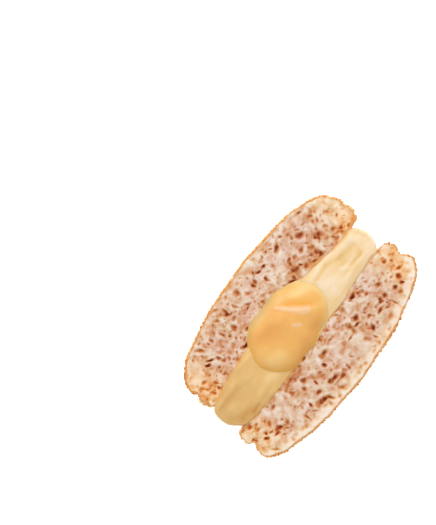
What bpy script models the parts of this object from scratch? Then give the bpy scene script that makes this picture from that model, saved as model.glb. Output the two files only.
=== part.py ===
"""Half of a lemon macaron, lying on its round rim with the cut face up.

Two almond meringue shells hold a ring of pale buttercream round a heart of lemon curd.
The macaron is modelled in its own upright frame: Z is its axis, the cut face looks along -Y.
A parent empty then lays it down, so that the cut face looks along +Z.
"""

import math

import bmesh
import bpy
import numpy as np
from mathutils import Matrix, Vector

MM = 0.001

# Driving sizes, in millimetres. Heights are measured along the axis from the middle of the filling.
RADIUS = 23.9
REST_FLAT_DEPTH = 0.35
CUT_HEIGHT = RADIUS - REST_FLAT_DEPTH
AXIS_AT = (-0.24, 0.35)
GAP = 0.3

# One entry for each shell: which side of the filling it is on, and its own unevenness.
UPPER = {
    "side": 1,
    "offset": 0.4,
    "equator": 9.2,
    "rise": 6.3,
    "face_at_rim": 3.1,
    "face_at_centre": 5.0,
    "lean": 0.018,
    "phase": 0.0,
    "under_spill": True,
}
LOWER = {
    "side": -1,
    "offset": -0.1,
    "equator": 9.6,
    "rise": 6.6,
    "face_at_rim": 3.6,
    "face_at_centre": 5.0,
    "lean": 0.0,
    "phase": 2.1,
    "under_spill": False,
}

TURN_STEPS = 76
CREAM_STEPS = 48
DOME_POINTS = 9
WAIST_DEPTH = 0.9
WAIST_DROP = 2.2
FOOT_SETBACK = 0.35
FOOT_RUFFLE = 0.25
DOME_RUFFLE = 0.16
DOME_BUMPS = 0.12

# Unevenness round the axis is a sum of sines. Each row is a number of waves, its size and where it starts.
SLOW_WAVES = [(3, 1.0, 0.0), (5, 0.7, 1.3), (8, 0.5, 0.4)]
QUICK_WAVES = [(13, 1.0, 0.0), (19, 0.8, 2.1), (9, 0.6, 1.0)]
CREAM_WAVES = [(4, 0.3, 0.5), (7, 0.2, 2.0), (11, 0.15, 0.0)]

# The largest holes of each cut face: along the cut, height, length, width, and turn in degrees.
UPPER_HOLES = [
    (9.3, 12.2, 1.2, 0.8, 50),
    (3.9, 12.2, 1.4, 0.7, -10),
    (1.7, 11.8, 0.9, 0.7, 60),
    (3.4, 10.1, 1.0, 0.7, 90),
    (8.6, 6.9, 2.3, 0.8, -10),
    (-15.3, 8.7, 2.4, 0.6, -35),
    (-15.1, 12.0, 1.3, 0.7, -40),
    (15.7, 7.4, 1.3, 0.8, -30),
    (19.2, 6.2, 1.4, 0.9, 0),
    (-6.5, 12.3, 1.3, 0.6, 90),
    (-9.8, 6.2, 1.3, 0.8, 20),
]
LOWER_HOLES = [
    (7.8, -8.0, 1.3, 1.1, 0),
    (11.2, -5.6, 1.4, 0.8, 0),
    (-7.4, -13.2, 2.0, 1.1, 50),
    (-3.7, -11.8, 2.0, 0.9, 15),
    (-1.1, -7.4, 1.7, 0.9, 0),
    (12.3, -10.9, 2.0, 0.7, -15),
    (-10.5, -11.4, 1.0, 0.8, 90),
    (17.7, -10.4, 1.1, 0.7, 30),
    (-16.2, -9.8, 1.7, 0.9, 0),
    (-20.0, -8.8, 1.1, 0.8, 0),
    (16.0, -7.4, 1.4, 1.0, 0),
]
SMALL_HOLES = 28
SMALL_HOLE_LENGTH = (0.6, 1.1)
HOLE_MARGIN = 1.1
HOLE_SPACING = 1.5
HOLE_DEPTH_SHARE = 0.8

CRUMBS_PER_SHELL = 72
CRUMB_LENGTH = (0.95, 1.5)
CRUMB_SUNK = 0.35

CREAM_OFFSET = -0.6
CREAM_RADIUS = 22.9
CREAM_SHOULDER = 20.6
CREAM_AXIS_DRIFT = 1.0
# Where the knife dragged the cream proud of the cut: along, height, half length, half width, how proud.
CREAM_SMEARS = [(15.3, 0.2, 6.6, 2.7, 0.75), (-16.7, -0.1, 5.9, 2.9, 0.6)]

CURD_CENTRE = -1.0
CURD_CORE = (7.6, 5.6)
CURD_CORE_HALF = 4.5
DOLLOP_CENTRE = (-1.0, 1.35)
DOLLOP_SIZE = (9.7, 5.9)
DOLLOP_HEIGHT = 3.0
DOLLOP_SUNK = 0.35
DOLLOP_SQUARE = 2.25
FOLD_START = (0.9, 5.4)
FOLD_END = (4.7, 0.2)
FOLD_DEPTH = 1.0
FOLD_RUN_OUT = 2.2
FOLD_LIP = 0.7

COLOURS = {
    "crust": (0.78, 0.50, 0.22),
    "buttercream": (0.90, 0.70, 0.36),
    "lemon_curd": (0.88, 0.52, 0.14),
}


def clear_scene():
    """Removes every object, so that the script starts from nothing."""
    for thing in list(bpy.data.objects):
        bpy.data.objects.remove(thing, do_unlink=True)


def new_collection(name):
    """A collection in the scene."""
    made = bpy.data.collections.new(name)
    bpy.context.scene.collection.children.link(made)
    return made


def finish_of(name, colour, roughness):
    """A Principled material with one colour."""
    material = bpy.data.materials.new(name)
    material.use_nodes = True
    shader = material.node_tree.nodes["Principled BSDF"]
    shader.inputs["Base Color"].default_value = (*colour, 1.0)
    shader.inputs["Roughness"].default_value = roughness
    shader.inputs["Metallic"].default_value = 0.0
    return material


def add_object(name, mesh, collection):
    """A named object for a mesh, in a collection."""
    made = bpy.data.objects.new(name, mesh)
    collection.objects.link(made)
    return made


def from_bmesh(name, form):
    """The mesh of a bmesh, which is then freed."""
    mesh = bpy.data.meshes.new(name)
    form.to_mesh(mesh)
    form.free()
    return mesh


def bake(thing):
    """Turns an object's modifiers into its mesh."""
    bpy.context.view_layer.update()
    graph = bpy.context.evaluated_depsgraph_get()
    mesh = bpy.data.meshes.new_from_object(thing.evaluated_get(graph))
    thing.modifiers.clear()
    thing.data = mesh


def combine(thing, other, operation):
    """Joins another object to this one, or cuts it away, and removes the other."""
    step = thing.modifiers.new(operation.lower(), "BOOLEAN")
    step.operation = operation
    step.solver = "EXACT"
    step.object = other
    bake(thing)
    bpy.data.objects.remove(other, do_unlink=True)


def combine_all(thing, group, operation):
    """Joins every object of a collection to this one, or cuts them away, and removes them."""
    step = thing.modifiers.new(operation.lower(), "BOOLEAN")
    step.operation = operation
    step.solver = "EXACT"
    step.operand_type = "COLLECTION"
    step.collection = group
    bake(thing)
    for piece in list(group.objects):
        bpy.data.objects.remove(piece, do_unlink=True)
    bpy.data.collections.remove(group)


def drop_scraps(thing):
    """Keeps an object's largest body, without the loose scraps that a cut can leave."""
    form = bmesh.new()
    form.from_mesh(thing.data)
    left = set(form.verts)
    bodies = []
    while left:
        body, edge = set(), [next(iter(left))]
        while edge:
            point = edge.pop()
            if point not in body:
                body.add(point)
                edge.extend(link.other_vert(point) for link in point.link_edges)
        bodies.append(body)
        left -= body
    bodies.sort(key=len)
    for body in bodies[:-1]:
        bmesh.ops.delete(form, geom=list(body), context="VERTS")
    form.to_mesh(thing.data)
    form.free()


def move_points(thing, rule):
    """Moves a mesh's points by a rule that works on the whole array of them."""
    count = len(thing.data.vertices)
    points = np.empty(count * 3, dtype=np.float32)
    thing.data.vertices.foreach_get("co", points)
    moved = rule(points.reshape(-1, 3).astype(float))
    thing.data.vertices.foreach_set("co", moved.astype(np.float32).ravel())
    thing.data.update()


def turned(name, profile, steps, collection):
    """A solid of revolution about Z, from a profile that runs from the top of the axis to its foot."""
    mesh = bpy.data.meshes.new(name)
    corners = [(r * MM, 0.0, h * MM) for r, h in profile]
    mesh.from_pydata(corners, [(i, i + 1) for i in range(len(corners) - 1)], [])
    thing = add_object(name, mesh, collection)
    screw = thing.modifiers.new("turn", "SCREW")
    screw.axis = "Z"
    screw.angle = math.tau
    screw.steps = steps
    screw.render_steps = steps
    screw.use_merge_vertices = True
    screw.merge_threshold = 0.00001
    bake(thing)
    return thing


def block(name, low, high, collection):
    """A box between two corners, in millimetres, used as a cutter."""
    form = bmesh.new()
    bmesh.ops.create_cube(form, size=1.0)
    size = [(b - a) * MM for a, b in zip(low, high)]
    middle = Vector([(a + b) / 2 * MM for a, b in zip(low, high)])
    place = Matrix.Translation(middle) @ Matrix.Diagonal((*size, 1.0))
    bmesh.ops.transform(form, matrix=place, verts=form.verts)
    return as_cutter(add_object(name, from_bmesh(name, form), collection))


def as_cutter(thing):
    """Marks an object as a guide that isn't part of the model."""
    thing.hide_render = True
    thing.display_type = "WIRE"
    return thing


def halve(thing, cutters):
    """Keeps the half behind the cut plane, and flattens the rim where it rests."""
    reach = 2 * RADIUS
    front = block("front_half", (-reach, -reach, -reach), (reach, 0.0, reach), cutters)
    table = block("table", (-reach, CUT_HEIGHT, -reach), (reach, reach, reach), cutters)
    combine(thing, front, "DIFFERENCE")
    combine(thing, table, "DIFFERENCE")


def face_height(r, shell):
    """Height of a shell's hollow inner face at a radius: a shallow dish, highest on the axis."""
    share = np.minimum(np.asarray(r, dtype=float) / (RADIUS - 2.0), 1.0)
    return shell["face_at_centre"] + (shell["face_at_rim"] - shell["face_at_centre"]) * share**1.6


def shell_profile(shell):
    """Radius and height of a shell's outline: elliptical dome, waist, frilled foot and dished face."""
    quarter = np.linspace(math.pi / 2, 0.0, DOME_POINTS)
    dome = [(RADIUS * math.cos(a), shell["equator"] + shell["rise"] * math.sin(a)) for a in quarter]
    foot_low = shell["face_at_rim"]
    waist = shell["equator"] - WAIST_DROP
    foot_mid = (foot_low + waist) / 2
    side = [
        (RADIUS - 0.3, shell["equator"] - 1.2),
        (RADIUS - WAIST_DEPTH, waist),
        (RADIUS - FOOT_SETBACK, foot_mid + 0.9),
        (RADIUS - FOOT_SETBACK + 0.1, foot_mid - 0.3),
        (RADIUS - FOOT_SETBACK - 0.4, foot_low + 0.45),
        (RADIUS - 1.7, foot_low),
    ]
    face = [(r, float(face_height(r, shell))) for r in (17.0, 9.0, 0.0)]
    profile = dome + side + face
    if shell["side"] < 0:
        profile = [(r, -h) for r, h in reversed(profile)]
    return profile


def waves(turn, rows, phase):
    """A sum of sines round the axis."""
    return sum(size * np.sin(count * turn + start + phase) for count, size, start in rows)


def ruffle_rule(shell):
    """The unevenness of a piped shell: slow waves on the dome, quick ones round the foot, a slight lean."""
    phase = shell["phase"]

    def rule(points):
        x, y, z = points.T / MM
        turn = np.arctan2(y, x)
        reach = np.hypot(x, y)
        height = z * shell["side"]
        rim = np.clip((reach - 0.55 * RADIUS) / (0.45 * RADIUS), 0.0, 1.0)
        foot = np.exp(-(((height - (shell["face_at_rim"] + 1.9)) / 1.7) ** 2)) * rim
        swell = DOME_RUFFLE * waves(turn, SLOW_WAVES, phase) * rim
        swell = swell + FOOT_RUFFLE * waves(turn, QUICK_WAVES, phase) * foot
        stretch = 1.0 + swell / np.maximum(reach, 1.0)
        dome = np.clip((height - shell["equator"]) / shell["rise"], 0.0, 1.0)
        bumps = DOME_BUMPS * np.sin(0.55 * x + phase) * np.sin(0.48 * y + 0.8) * dome
        lean = shell["lean"] * x * dome
        lifted = z + shell["side"] * (bumps + lean)
        return np.stack([x * stretch + shell["offset"], y * stretch, lifted], axis=1) * MM

    return rule


def hole_cutter(name, x, height, length, width, turn, finer, collection):
    """An ellipsoid centred on the cut plane, which leaves half of itself as a hole in the crumb."""
    form = bmesh.new()
    bmesh.ops.create_icosphere(form, subdivisions=2 if finer else 1, radius=0.5)
    place = Matrix.Translation(Vector((x, 0.0, height)) * MM)
    spin = Matrix.Rotation(math.radians(-turn), 4, "Y")
    size = Matrix.Diagonal((length * MM, 2 * HOLE_DEPTH_SHARE * width * MM, width * MM, 1.0))
    bmesh.ops.transform(form, matrix=place @ spin @ size, verts=form.verts)
    return as_cutter(add_object(name, from_bmesh(name, form), collection))


def inside_face(x, height, shell, margin):
    """Whether a point of the cut plane lies in a shell's section, at least a margin from its outline."""
    r = abs(x - shell["offset"])
    if r > RADIUS - 1.0 - margin:
        return False
    low = max(float(face_height(r, shell)), shell["face_at_rim"])
    top = shell["equator"] + shell["rise"] * math.sqrt(1.0 - (r / RADIUS) ** 2)
    return low + margin < height < top - margin


def clear_of_dollop(x, height):
    """Whether a point of the cut plane lies clear of the curd that spills over it."""
    across = (x - DOLLOP_CENTRE[0]) / (DOLLOP_SIZE[0] + HOLE_MARGIN)
    along = (height - DOLLOP_CENTRE[1]) / (DOLLOP_SIZE[1] + HOLE_MARGIN)
    return across**2 + along**2 > 1.0


def crumb_holes(shell, large, random):
    """The large holes, and small ones thrown at random that keep their distance from each other."""
    holes = [(x, h, length, width, turn, True) for x, h, length, width, turn in large]
    wanted = len(large) + SMALL_HOLES
    while len(holes) < wanted:
        x = random.uniform(-RADIUS, RADIUS)
        height = random.uniform(shell["face_at_rim"], shell["equator"] + shell["rise"])
        reach = HOLE_SPACING + 0.5 * max([0.0] + [o[2] for o in holes if abs(o[0] - x) < 2.5])
        far = all(math.hypot(o[0] - x, abs(o[1]) - height) > reach for o in holes)
        if far and inside_face(x, height, shell, HOLE_MARGIN) and clear_of_dollop(x, shell["side"] * height):
            length = random.uniform(*SMALL_HOLE_LENGTH)
            width = length * random.uniform(0.55, 0.9)
            holes.append((x, shell["side"] * height, length, width, random.uniform(-90, 90), False))
    return holes


def crumb_places(shell, random):
    """Points and outward directions spread evenly over a shell's dome and side, by the golden angle."""
    golden = math.pi * (3.0 - math.sqrt(5.0))
    ruffled = ruffle_rule(shell)
    places = []
    for n in range(CRUMBS_PER_SHELL):
        share = (n + 0.5) / CRUMBS_PER_SHELL
        turn = math.pi * (0.03 + 0.94 * ((n * golden / math.tau) % 1.0))
        climb = math.asin(1.0 - share) + random.uniform(-0.05, 0.05)
        climb = max(climb, -0.05)
        r = RADIUS * math.cos(climb)
        height = shell["equator"] + shell["rise"] * math.sin(climb)
        outward = Vector((math.cos(turn) * r / RADIUS**2, math.sin(turn) * r / RADIUS**2, 0.0))
        outward.z = math.sin(climb) / shell["rise"]
        outward.normalize()
        outward.z *= shell["side"]
        spot = np.array([[r * math.cos(turn), r * math.sin(turn), shell["side"] * height]])
        places.append((Vector(ruffled(spot * MM)[0] / MM), outward))
    return places


def crumb_mesh():
    """One toasted crumb, an uneven twenty-sided grain of unit length."""
    form = bmesh.new()
    bmesh.ops.create_icosphere(form, subdivisions=1, radius=0.5)
    return from_bmesh("crumb", form)


def fuse_crumbs(thing, shell, random):
    """Fuses the largest toasted crumbs to the outside of a shell."""
    group = new_collection(thing.name + "_crumbs")
    grain = crumb_mesh()
    for n, (spot, outward) in enumerate(crumb_places(shell, random)):
        length = random.uniform(*CRUMB_LENGTH)
        thick = length * random.uniform(0.55, 0.8)
        wide = length * random.uniform(0.6, 0.95)
        piece = add_object(f"{thing.name}_crumb_{n:02d}", grain, group)
        piece.rotation_mode = "QUATERNION"
        spin = Matrix.Rotation(random.uniform(0.0, math.tau), 3, "Z").to_quaternion()
        piece.rotation_quaternion = outward.to_track_quat("Z", "Y") @ spin
        piece.scale = Vector((length, wide, thick)) * MM
        piece.location = (spot + outward * thick * (0.5 - CRUMB_SUNK)) * MM
    combine_all(thing, group, "UNION")


def make_shell(name, shell, large, seed, parts, cutters):
    """A meringue shell: turned, made uneven, set with crumbs, halved, and pitted on its cut face."""
    random = np.random.default_rng(seed)
    thing = turned(name, shell_profile(shell), TURN_STEPS, parts)
    move_points(thing, ruffle_rule(shell))
    fuse_crumbs(thing, shell, random)
    halve(thing, cutters)
    holes = new_collection(name + "_holes")
    for n, (x, height, length, width, turn, finer) in enumerate(crumb_holes(shell, large, random)):
        hole_cutter(f"{name}_hole_{n:02d}", x, height, length, width, turn, finer, holes)
    combine_all(thing, holes, "DIFFERENCE")
    if shell["under_spill"]:
        combine(thing, dollop("spill_room", GAP, cutters), "DIFFERENCE")
    drop_scraps(thing)
    return thing


def dollop(name, grow, collection):
    """The curd that wells out over the cut: a rounded pillow with a fold, sunk a little into the face."""
    form = bmesh.new()
    bmesh.ops.create_uvsphere(form, u_segments=34, v_segments=18, radius=1.0)
    thing = add_object(name, from_bmesh(name, form), collection)

    def rule(points):
        x, out, h = points[:, 0], points[:, 2], points[:, 1]
        across = np.hypot(x, h)
        turn = np.arctan2(h, x)
        square = DOLLOP_SQUARE
        squared = (np.abs(np.cos(turn)) ** square + np.abs(np.sin(turn)) ** square) ** (-1 / square)
        spread = across * squared * (1.0 + 0.03 * np.sin(2 * turn + 2.6) + 0.015 * np.sin(3 * turn))
        along = DOLLOP_CENTRE[0] + (DOLLOP_SIZE[0] + grow) * spread * np.cos(turn)
        height = DOLLOP_CENTRE[1] + (DOLLOP_SIZE[1] + grow) * spread * np.sin(turn)
        top = np.maximum(out, 0.0) ** 0.85 * (DOLLOP_HEIGHT + grow) * (1.0 - 0.05 * x)
        bottom = np.minimum(out, 0.0) * (DOLLOP_SUNK + grow)
        crease = fold_drop(along, height) * FOLD_DEPTH * np.clip(out * 2.0, 0.0, 1.0)
        raised = np.where(out > 0.0, np.maximum(top - crease, 0.15 * top), bottom)
        return np.stack([along, -raised, height], axis=1) * MM

    move_points(thing, rule)
    form = bmesh.new()
    form.from_mesh(thing.data)
    bmesh.ops.recalc_face_normals(form, faces=form.faces)
    form.to_mesh(thing.data)
    form.free()
    return thing


def fold_drop(x, height):
    """The curd's fold, from 0 to 1: the surface steps down across a line, then slowly climbs again."""
    start, end = np.array(FOLD_START), np.array(FOLD_END)
    run = end - start
    length = np.hypot(*run)
    along = ((x - start[0]) * run[0] + (height - start[1]) * run[1]) / length
    beyond = ((height - start[1]) * run[0] - (x - start[0]) * run[1]) / length
    inside = np.clip((along + 1.0) / 1.8, 0.0, 1.0) * np.clip((length + 1.2 - along) / 1.8, 0.0, 1.0)
    step = np.clip(beyond / FOLD_LIP + 0.5, 0.0, 1.0)
    return step * np.exp(-np.maximum(beyond, 0.0) / FOLD_RUN_OUT) * inside


def curd_heart(name, grow, half_height, collection):
    """The curd between the shells: a flattened ball about the axis, cut off level at the shells."""
    form = bmesh.new()
    bmesh.ops.create_uvsphere(form, u_segments=32, v_segments=16, radius=1.0)
    size = Vector((CURD_CORE[0] + grow, CURD_CORE[0] + grow, CURD_CORE[1] + grow)) * MM
    place = Matrix.Translation((CURD_CENTRE * MM, 0.0, 0.0)) @ Matrix.Diagonal((*size, 1.0))
    bmesh.ops.transform(form, matrix=place, verts=form.verts)
    thing = add_object(name, from_bmesh(name, form), collection)
    reach = 2 * RADIUS
    for level in (half_height, -half_height - reach):
        low, high = (-reach, -reach, level), (reach, reach, level + reach)
        combine(thing, block("level_off", low, high, collection), "DIFFERENCE")
    return thing


def make_curd(parts, cutters):
    """The lemon curd: its heart behind the cut plane, and the dollop that wells out over it."""
    thing = curd_heart("lemon_curd", 0.0, CURD_CORE_HALF, parts)
    halve(thing, cutters)
    combine(thing, dollop("dollop", 0.0, cutters), "UNION")
    return thing


def cream_profile():
    """The buttercream's outline: it fills the dish of both shells and bulges at its outer edge."""
    stops = (0.0, 7.0, 13.0, 17.5, CREAM_SHOULDER)
    top = [(r, float(face_height(r + CREAM_AXIS_DRIFT, UPPER)) - GAP) for r in stops]
    low = [(r, -float(face_height(r + CREAM_AXIS_DRIFT, LOWER)) + GAP) for r in reversed(stops)]
    edge_high, edge_low = top[-1][1], low[0][1]
    middle, half = (edge_high + edge_low) / 2, (edge_high - edge_low) / 2
    bulge = CREAM_RADIUS - CREAM_SHOULDER
    arc = [
        (CREAM_SHOULDER + bulge * math.cos(a), middle + half * math.sin(a))
        for a in np.radians([60, 30, 0, -30, -60])
    ]
    return top + arc + low


def cream_ruffle(points):
    """Piped cream is a little wavy round its edge."""
    x, y, z = points.T / MM
    turn = np.arctan2(y, x)
    reach = np.hypot(x, y)
    edge = np.clip((reach - 15.0) / 7.0, 0.0, 1.0)
    stretch = 1.0 + edge * waves(turn, CREAM_WAVES, 0.0) / np.maximum(reach, 1.0)
    return np.stack([x * stretch + CREAM_OFFSET, y * stretch, z], axis=1) * MM


def make_cream(parts, cutters):
    """The buttercream ring: turned, halved, smeared proud of the cut, and hollowed for the curd."""
    thing = turned("buttercream", cream_profile(), CREAM_STEPS, parts)
    move_points(thing, cream_ruffle)
    halve(thing, cutters)
    for x, height, half_length, half_width, proud in CREAM_SMEARS:
        form = bmesh.new()
        bmesh.ops.create_uvsphere(form, u_segments=24, v_segments=12, radius=1.0)
        size = Vector((half_length, proud, half_width)) * MM
        place = Matrix.Translation(Vector((x, 0.0, height)) * MM) @ Matrix.Diagonal((*size, 1.0))
        bmesh.ops.transform(form, matrix=place, verts=form.verts)
        combine(thing, add_object("smear", from_bmesh("smear", form), cutters), "UNION")
    combine(thing, curd_heart("heart_room", GAP, 2 * RADIUS, cutters), "DIFFERENCE")
    combine(thing, dollop("dollop_room", GAP, cutters), "DIFFERENCE")
    return thing


def lay_down(things, parts):
    """Parents the pieces to an empty that turns the cut face up and sets the rim on the ground."""
    laid = bpy.data.objects.new("laid_down", None)
    parts.objects.link(laid)
    laid.rotation_euler = (math.radians(-90.0), 0.0, 0.0)
    laid.location = (AXIS_AT[0] * MM, AXIS_AT[1] * MM, CUT_HEIGHT * MM)
    for thing in things:
        thing.parent = laid


def main():
    """Builds the half macaron."""
    clear_scene()
    parts = new_collection("lemon_macaron_half")
    cutters = new_collection("cutters")
    crust = finish_of("crust", COLOURS["crust"], 0.85)
    cream = finish_of("buttercream", COLOURS["buttercream"], 0.45)
    curd = finish_of("lemon_curd", COLOURS["lemon_curd"], 0.3)
    pieces = [
        (make_shell("upper_shell", UPPER, UPPER_HOLES, 11, parts, cutters), crust),
        (make_shell("lower_shell", LOWER, LOWER_HOLES, 23, parts, cutters), crust),
        (make_cream(parts, cutters), cream),
        (make_curd(parts, cutters), curd),
    ]
    for thing, material in pieces:
        thing.data.materials.clear()
        thing.data.materials.append(material)
    lay_down([thing for thing, _ in pieces], parts)


main()
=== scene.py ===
# %% [markdown]
# # Half a lemon macaron, cut face up
#
# Two domed shells of almond meringue hold pale buttercream round a heart of lemon curd.
# The macaron was cut through its middle, and one half lies on its round rim.
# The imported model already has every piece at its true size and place.
# This lesson gives each of those pieces the surface that the eye expects.

import math

import bmesh
import bpy
import numpy as np
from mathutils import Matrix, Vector


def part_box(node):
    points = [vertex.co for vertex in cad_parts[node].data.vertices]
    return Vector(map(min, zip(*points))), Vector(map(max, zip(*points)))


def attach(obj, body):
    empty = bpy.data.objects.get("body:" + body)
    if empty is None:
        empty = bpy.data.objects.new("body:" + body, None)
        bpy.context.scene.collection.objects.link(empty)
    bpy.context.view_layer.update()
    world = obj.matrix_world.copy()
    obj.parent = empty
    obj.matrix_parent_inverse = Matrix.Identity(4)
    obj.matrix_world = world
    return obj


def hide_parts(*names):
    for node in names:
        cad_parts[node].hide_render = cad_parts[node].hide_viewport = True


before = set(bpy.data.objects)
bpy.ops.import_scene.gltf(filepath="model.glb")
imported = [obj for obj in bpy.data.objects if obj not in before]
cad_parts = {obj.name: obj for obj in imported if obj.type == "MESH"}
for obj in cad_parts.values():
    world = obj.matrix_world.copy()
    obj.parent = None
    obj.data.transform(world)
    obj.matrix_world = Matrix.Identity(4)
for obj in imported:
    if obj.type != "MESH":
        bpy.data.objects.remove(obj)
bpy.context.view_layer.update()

# %% [markdown]
# ## Sizes
#
# The shapes below are worked out in millimetres, in the macaron's own three directions.
# x runs along the cut, h runs up the macaron's axis from the lower shell to the upper one,
# and depth runs from the cut face down to the table.
# Only the last step turns them into Blender's metres.

# %% The driving sizes, in millimetres
MM = 0.001
RADIUS = 23.9
# The height of the cut face over the table, and the X and Y of the macaron's axis.
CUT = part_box("upper_shell")[1][2] / MM
AXIS = (-0.24, 0.35)

# side is 1 for the upper shell and -1 for the lower one, and offset moves its middle along the cut. Equator,
# rise, foot and dish are heights. lean tips the dome, and pale_rim is how much the cut pales towards it.
UPPER = dict(
    side=1, offset=0.4, equator=9.2, rise=6.3, foot=3.1, dish=5.0,
    lean=0.018, phase=0.0, seed=3, pale_rim=0.45,
)
LOWER = dict(
    side=-1, offset=-0.1, equator=9.6, rise=6.6, foot=3.6, dish=5.0,
    lean=0.0, phase=2.1, seed=7, pale_rim=1.15,
)

# At the two ends of the cut the shells aren't quite round. Each row is a height on the shell, and how far
# the end stands out there, at the right and at the left.
UPPER["ends"] = [
    (3.1, 0.5, 0.3), (3.9, -0.4, 0.0), (4.6, -0.2, -0.3), (5.5, 0.0, 0.0), (6.1, 0.3, 0.0), (7.0, 0.7, -0.4),
    (8.4, -0.1, -0.5), (9.2, -0.5, -1.0), (9.9, -0.8, -1.1), (11.0, -0.5, -1.1), (12.0, -0.2, -1.2),
    (13.4, 0.0, 0.0),
]
LOWER["ends"] = [
    (3.6, -0.3, 0.9), (4.1, -0.1, 0.5), (5.2, 0.0, 0.1), (6.3, -0.1, 0.5), (7.4, 0.2, 0.1), (9.0, 0.0, 0.0),
    (11.2, 0.1, 0.3), (12.6, 0.3, 0.6), (14.0, 0.3, 0.3), (15.0, 0.0, 0.0),
]

# The line between filling and shell at the cut: x, and how far it lies outside the dish's own edge.
UPPER["edge"] = [
    (-22, 0.1), (-18, 0.2), (-13, 0.2), (-9, 0.2), (0, 0.2), (7, 0.0), (10, -0.25), (15, -0.6), (22, -0.3),
]
LOWER["edge"] = [
    (-22, 0.1), (-15, 0.05), (-10.5, -0.05), (-8.5, -0.3), (-4.4, -0.5), (-2.2, -0.2), (-0.5, -0.15),
    (1, -0.7), (3, -0.95), (5, -1.0), (6.5, -0.9), (8, -0.6), (10, -0.6), (15, -0.75), (19, -0.5),
    (22, -0.1),
]
# How far the filling has coloured the crumb beside it: x and strength.
UPPER["wet"] = [(-22, 0.4), (-8, 0.2), (7, 0.6), (12, 1.2), (22, 1.3)]
LOWER["wet"] = [(-22, 0.8), (-10, 1.1), (0, 0.8), (8, 1.1), (12, 0.4), (22, 0.15)]
print("the cut face is", round(CUT, 2), "mm above the table")


def placed(x, h, depth):
    """World places in millimetres: X and Y from the axis, and Z as far below the cut as depth says."""
    return np.stack([x + AXIS[0], h + AXIS[1], np.maximum(CUT - depth, 0.0)], axis=-1)


# %% [markdown]
# ## Noise that is worked out, not painted
#
# Baked things are never smooth. Blender has noise for its materials, but here the unevenness has to be
# in the mesh, so a small noise of our own is handy: random numbers on a lattice, blended in between.
# It takes whole arrays, so a hundred thousand points cost a moment, and it gives the same result each run.

# %% Smooth steps, scrambled numbers and noise
def ease(low, high, value):
    """0 up to low, 1 from high on, and 3t² - 2t³ of the way t between them."""
    t = np.clip((value - low) / (high - low), 0.0, 1.0)
    return t * t * (3.0 - 2.0 * t)


def scramble(i, j, k, seed):
    """A repeatable number from 0 to 1 for each whole-number place, made by mixing its bits."""
    i, j, k = (np.asarray(v).astype(np.int64) for v in (i, j, k))
    n = (i * 73856093) ^ (j * 19349663) ^ (k * 83492791) ^ (seed * 2654435)
    n = (n ^ (n >> 13)) & 0x7FFFFFFF
    n = (n * 1274126177) & 0x7FFFFFFF
    return ((n ^ (n >> 16)) & 0x7FFFFFFF) / 0x7FFFFFFF


def noise(x, y, z, size, seed):
    """From -1 to 1: a random number at each corner of cubes of this size, eased between the corners."""
    x, y, z = np.broadcast_arrays(x, y, z)
    cell = [np.floor(v / size) for v in (x, y, z)]
    part = [ease(0.0, 1.0, v / size - c) for v, c in zip((x, y, z), cell)]
    total = np.zeros(x.shape)
    for a in (0, 1):
        for b in (0, 1):
            for c in (0, 1):
                weight = abs(1 - a - part[0]) * abs(1 - b - part[1]) * abs(1 - c - part[2])
                total += weight * scramble(cell[0] + a, cell[1] + b, cell[2] + c, seed)
    return 2.0 * total - 1.0


def rough(x, y, z, size, seed, layers=3):
    """Layers of noise, each half the size and half the strength of the one before."""
    return sum(noise(x, y, z, size / 2**n, seed + n) / 2**n for n in range(layers))


def waves(turn, rows, phase):
    """A sum of sines round the axis. Each row is a number of waves, their size and where they start."""
    return sum(size * np.sin(count * turn + start + phase) for count, size, start in rows)


# %% [markdown]
# ## From arrays to a mesh
#
# Every surface here is a grid: rows and columns of points, joined by four-cornered faces.
# Where two grids share an edge, their points are equal, and merging them closes the seam.
# A closed piece has a volume, and printing it is a cheap proof that nothing is open or inside out.

# %% Grid faces, stitching and attributes
def grid_faces(rows, columns, start=0, around=False):
    """The corners of each face of a grid of points; around joins the last column to the first."""
    r = np.arange(rows - 1)[:, None]
    c = np.arange(columns if around else columns - 1)[None, :]
    right = (c + 1) % columns
    corners = [r * columns + c, r * columns + right, (r + 1) * columns + right, (r + 1) * columns + c]
    return np.stack([v.ravel() for v in np.broadcast_arrays(*corners)], axis=1) + start


def new_piece(name, points, faces):
    """An object at the origin, from points in millimetres and lists of corners."""
    mesh = bpy.data.meshes.new(name)
    mesh.from_pydata((np.asarray(points) * MM).tolist(), [], faces)
    mesh.update()
    made = bpy.data.objects.new(name, mesh)
    bpy.context.scene.collection.objects.link(made)
    return made


def close_up(piece, merge=False):
    """Turns a closed piece's faces outwards, with its doubles merged first where grids share an edge."""
    form = bmesh.new()
    form.from_mesh(piece.data)
    if merge:
        bmesh.ops.remove_doubles(form, verts=form.verts, dist=0.002 * MM)
        bmesh.ops.dissolve_degenerate(form, edges=form.edges, dist=0.0005 * MM)
    bmesh.ops.recalc_face_normals(form, faces=form.faces)
    if form.calc_volume(signed=True) < 0:
        bmesh.ops.reverse_faces(form, faces=form.faces)
    form.to_mesh(piece.data)
    open_edges = sum(1 for e in form.edges if not e.is_manifold)
    cm3 = form.calc_volume(signed=True) * 1e6
    form.free()
    print(f"{piece.name}: {len(piece.data.polygons)} faces, {cm3:.2f} cm3, {open_edges} open edges")
    return piece


def stitched(name, blocks, extra=()):
    """One closed piece from grids that share edges, each given as (points, faces)."""
    points = np.concatenate([np.asarray(p).reshape(-1, 3) for p, _ in blocks])
    faces, start = [], 0
    for block, corners in blocks:
        faces += (np.asarray(corners) + start).tolist()
        start += np.asarray(block).size // 3
    return close_up(new_piece(name, points, faces + list(extra)), merge=True)


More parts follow.
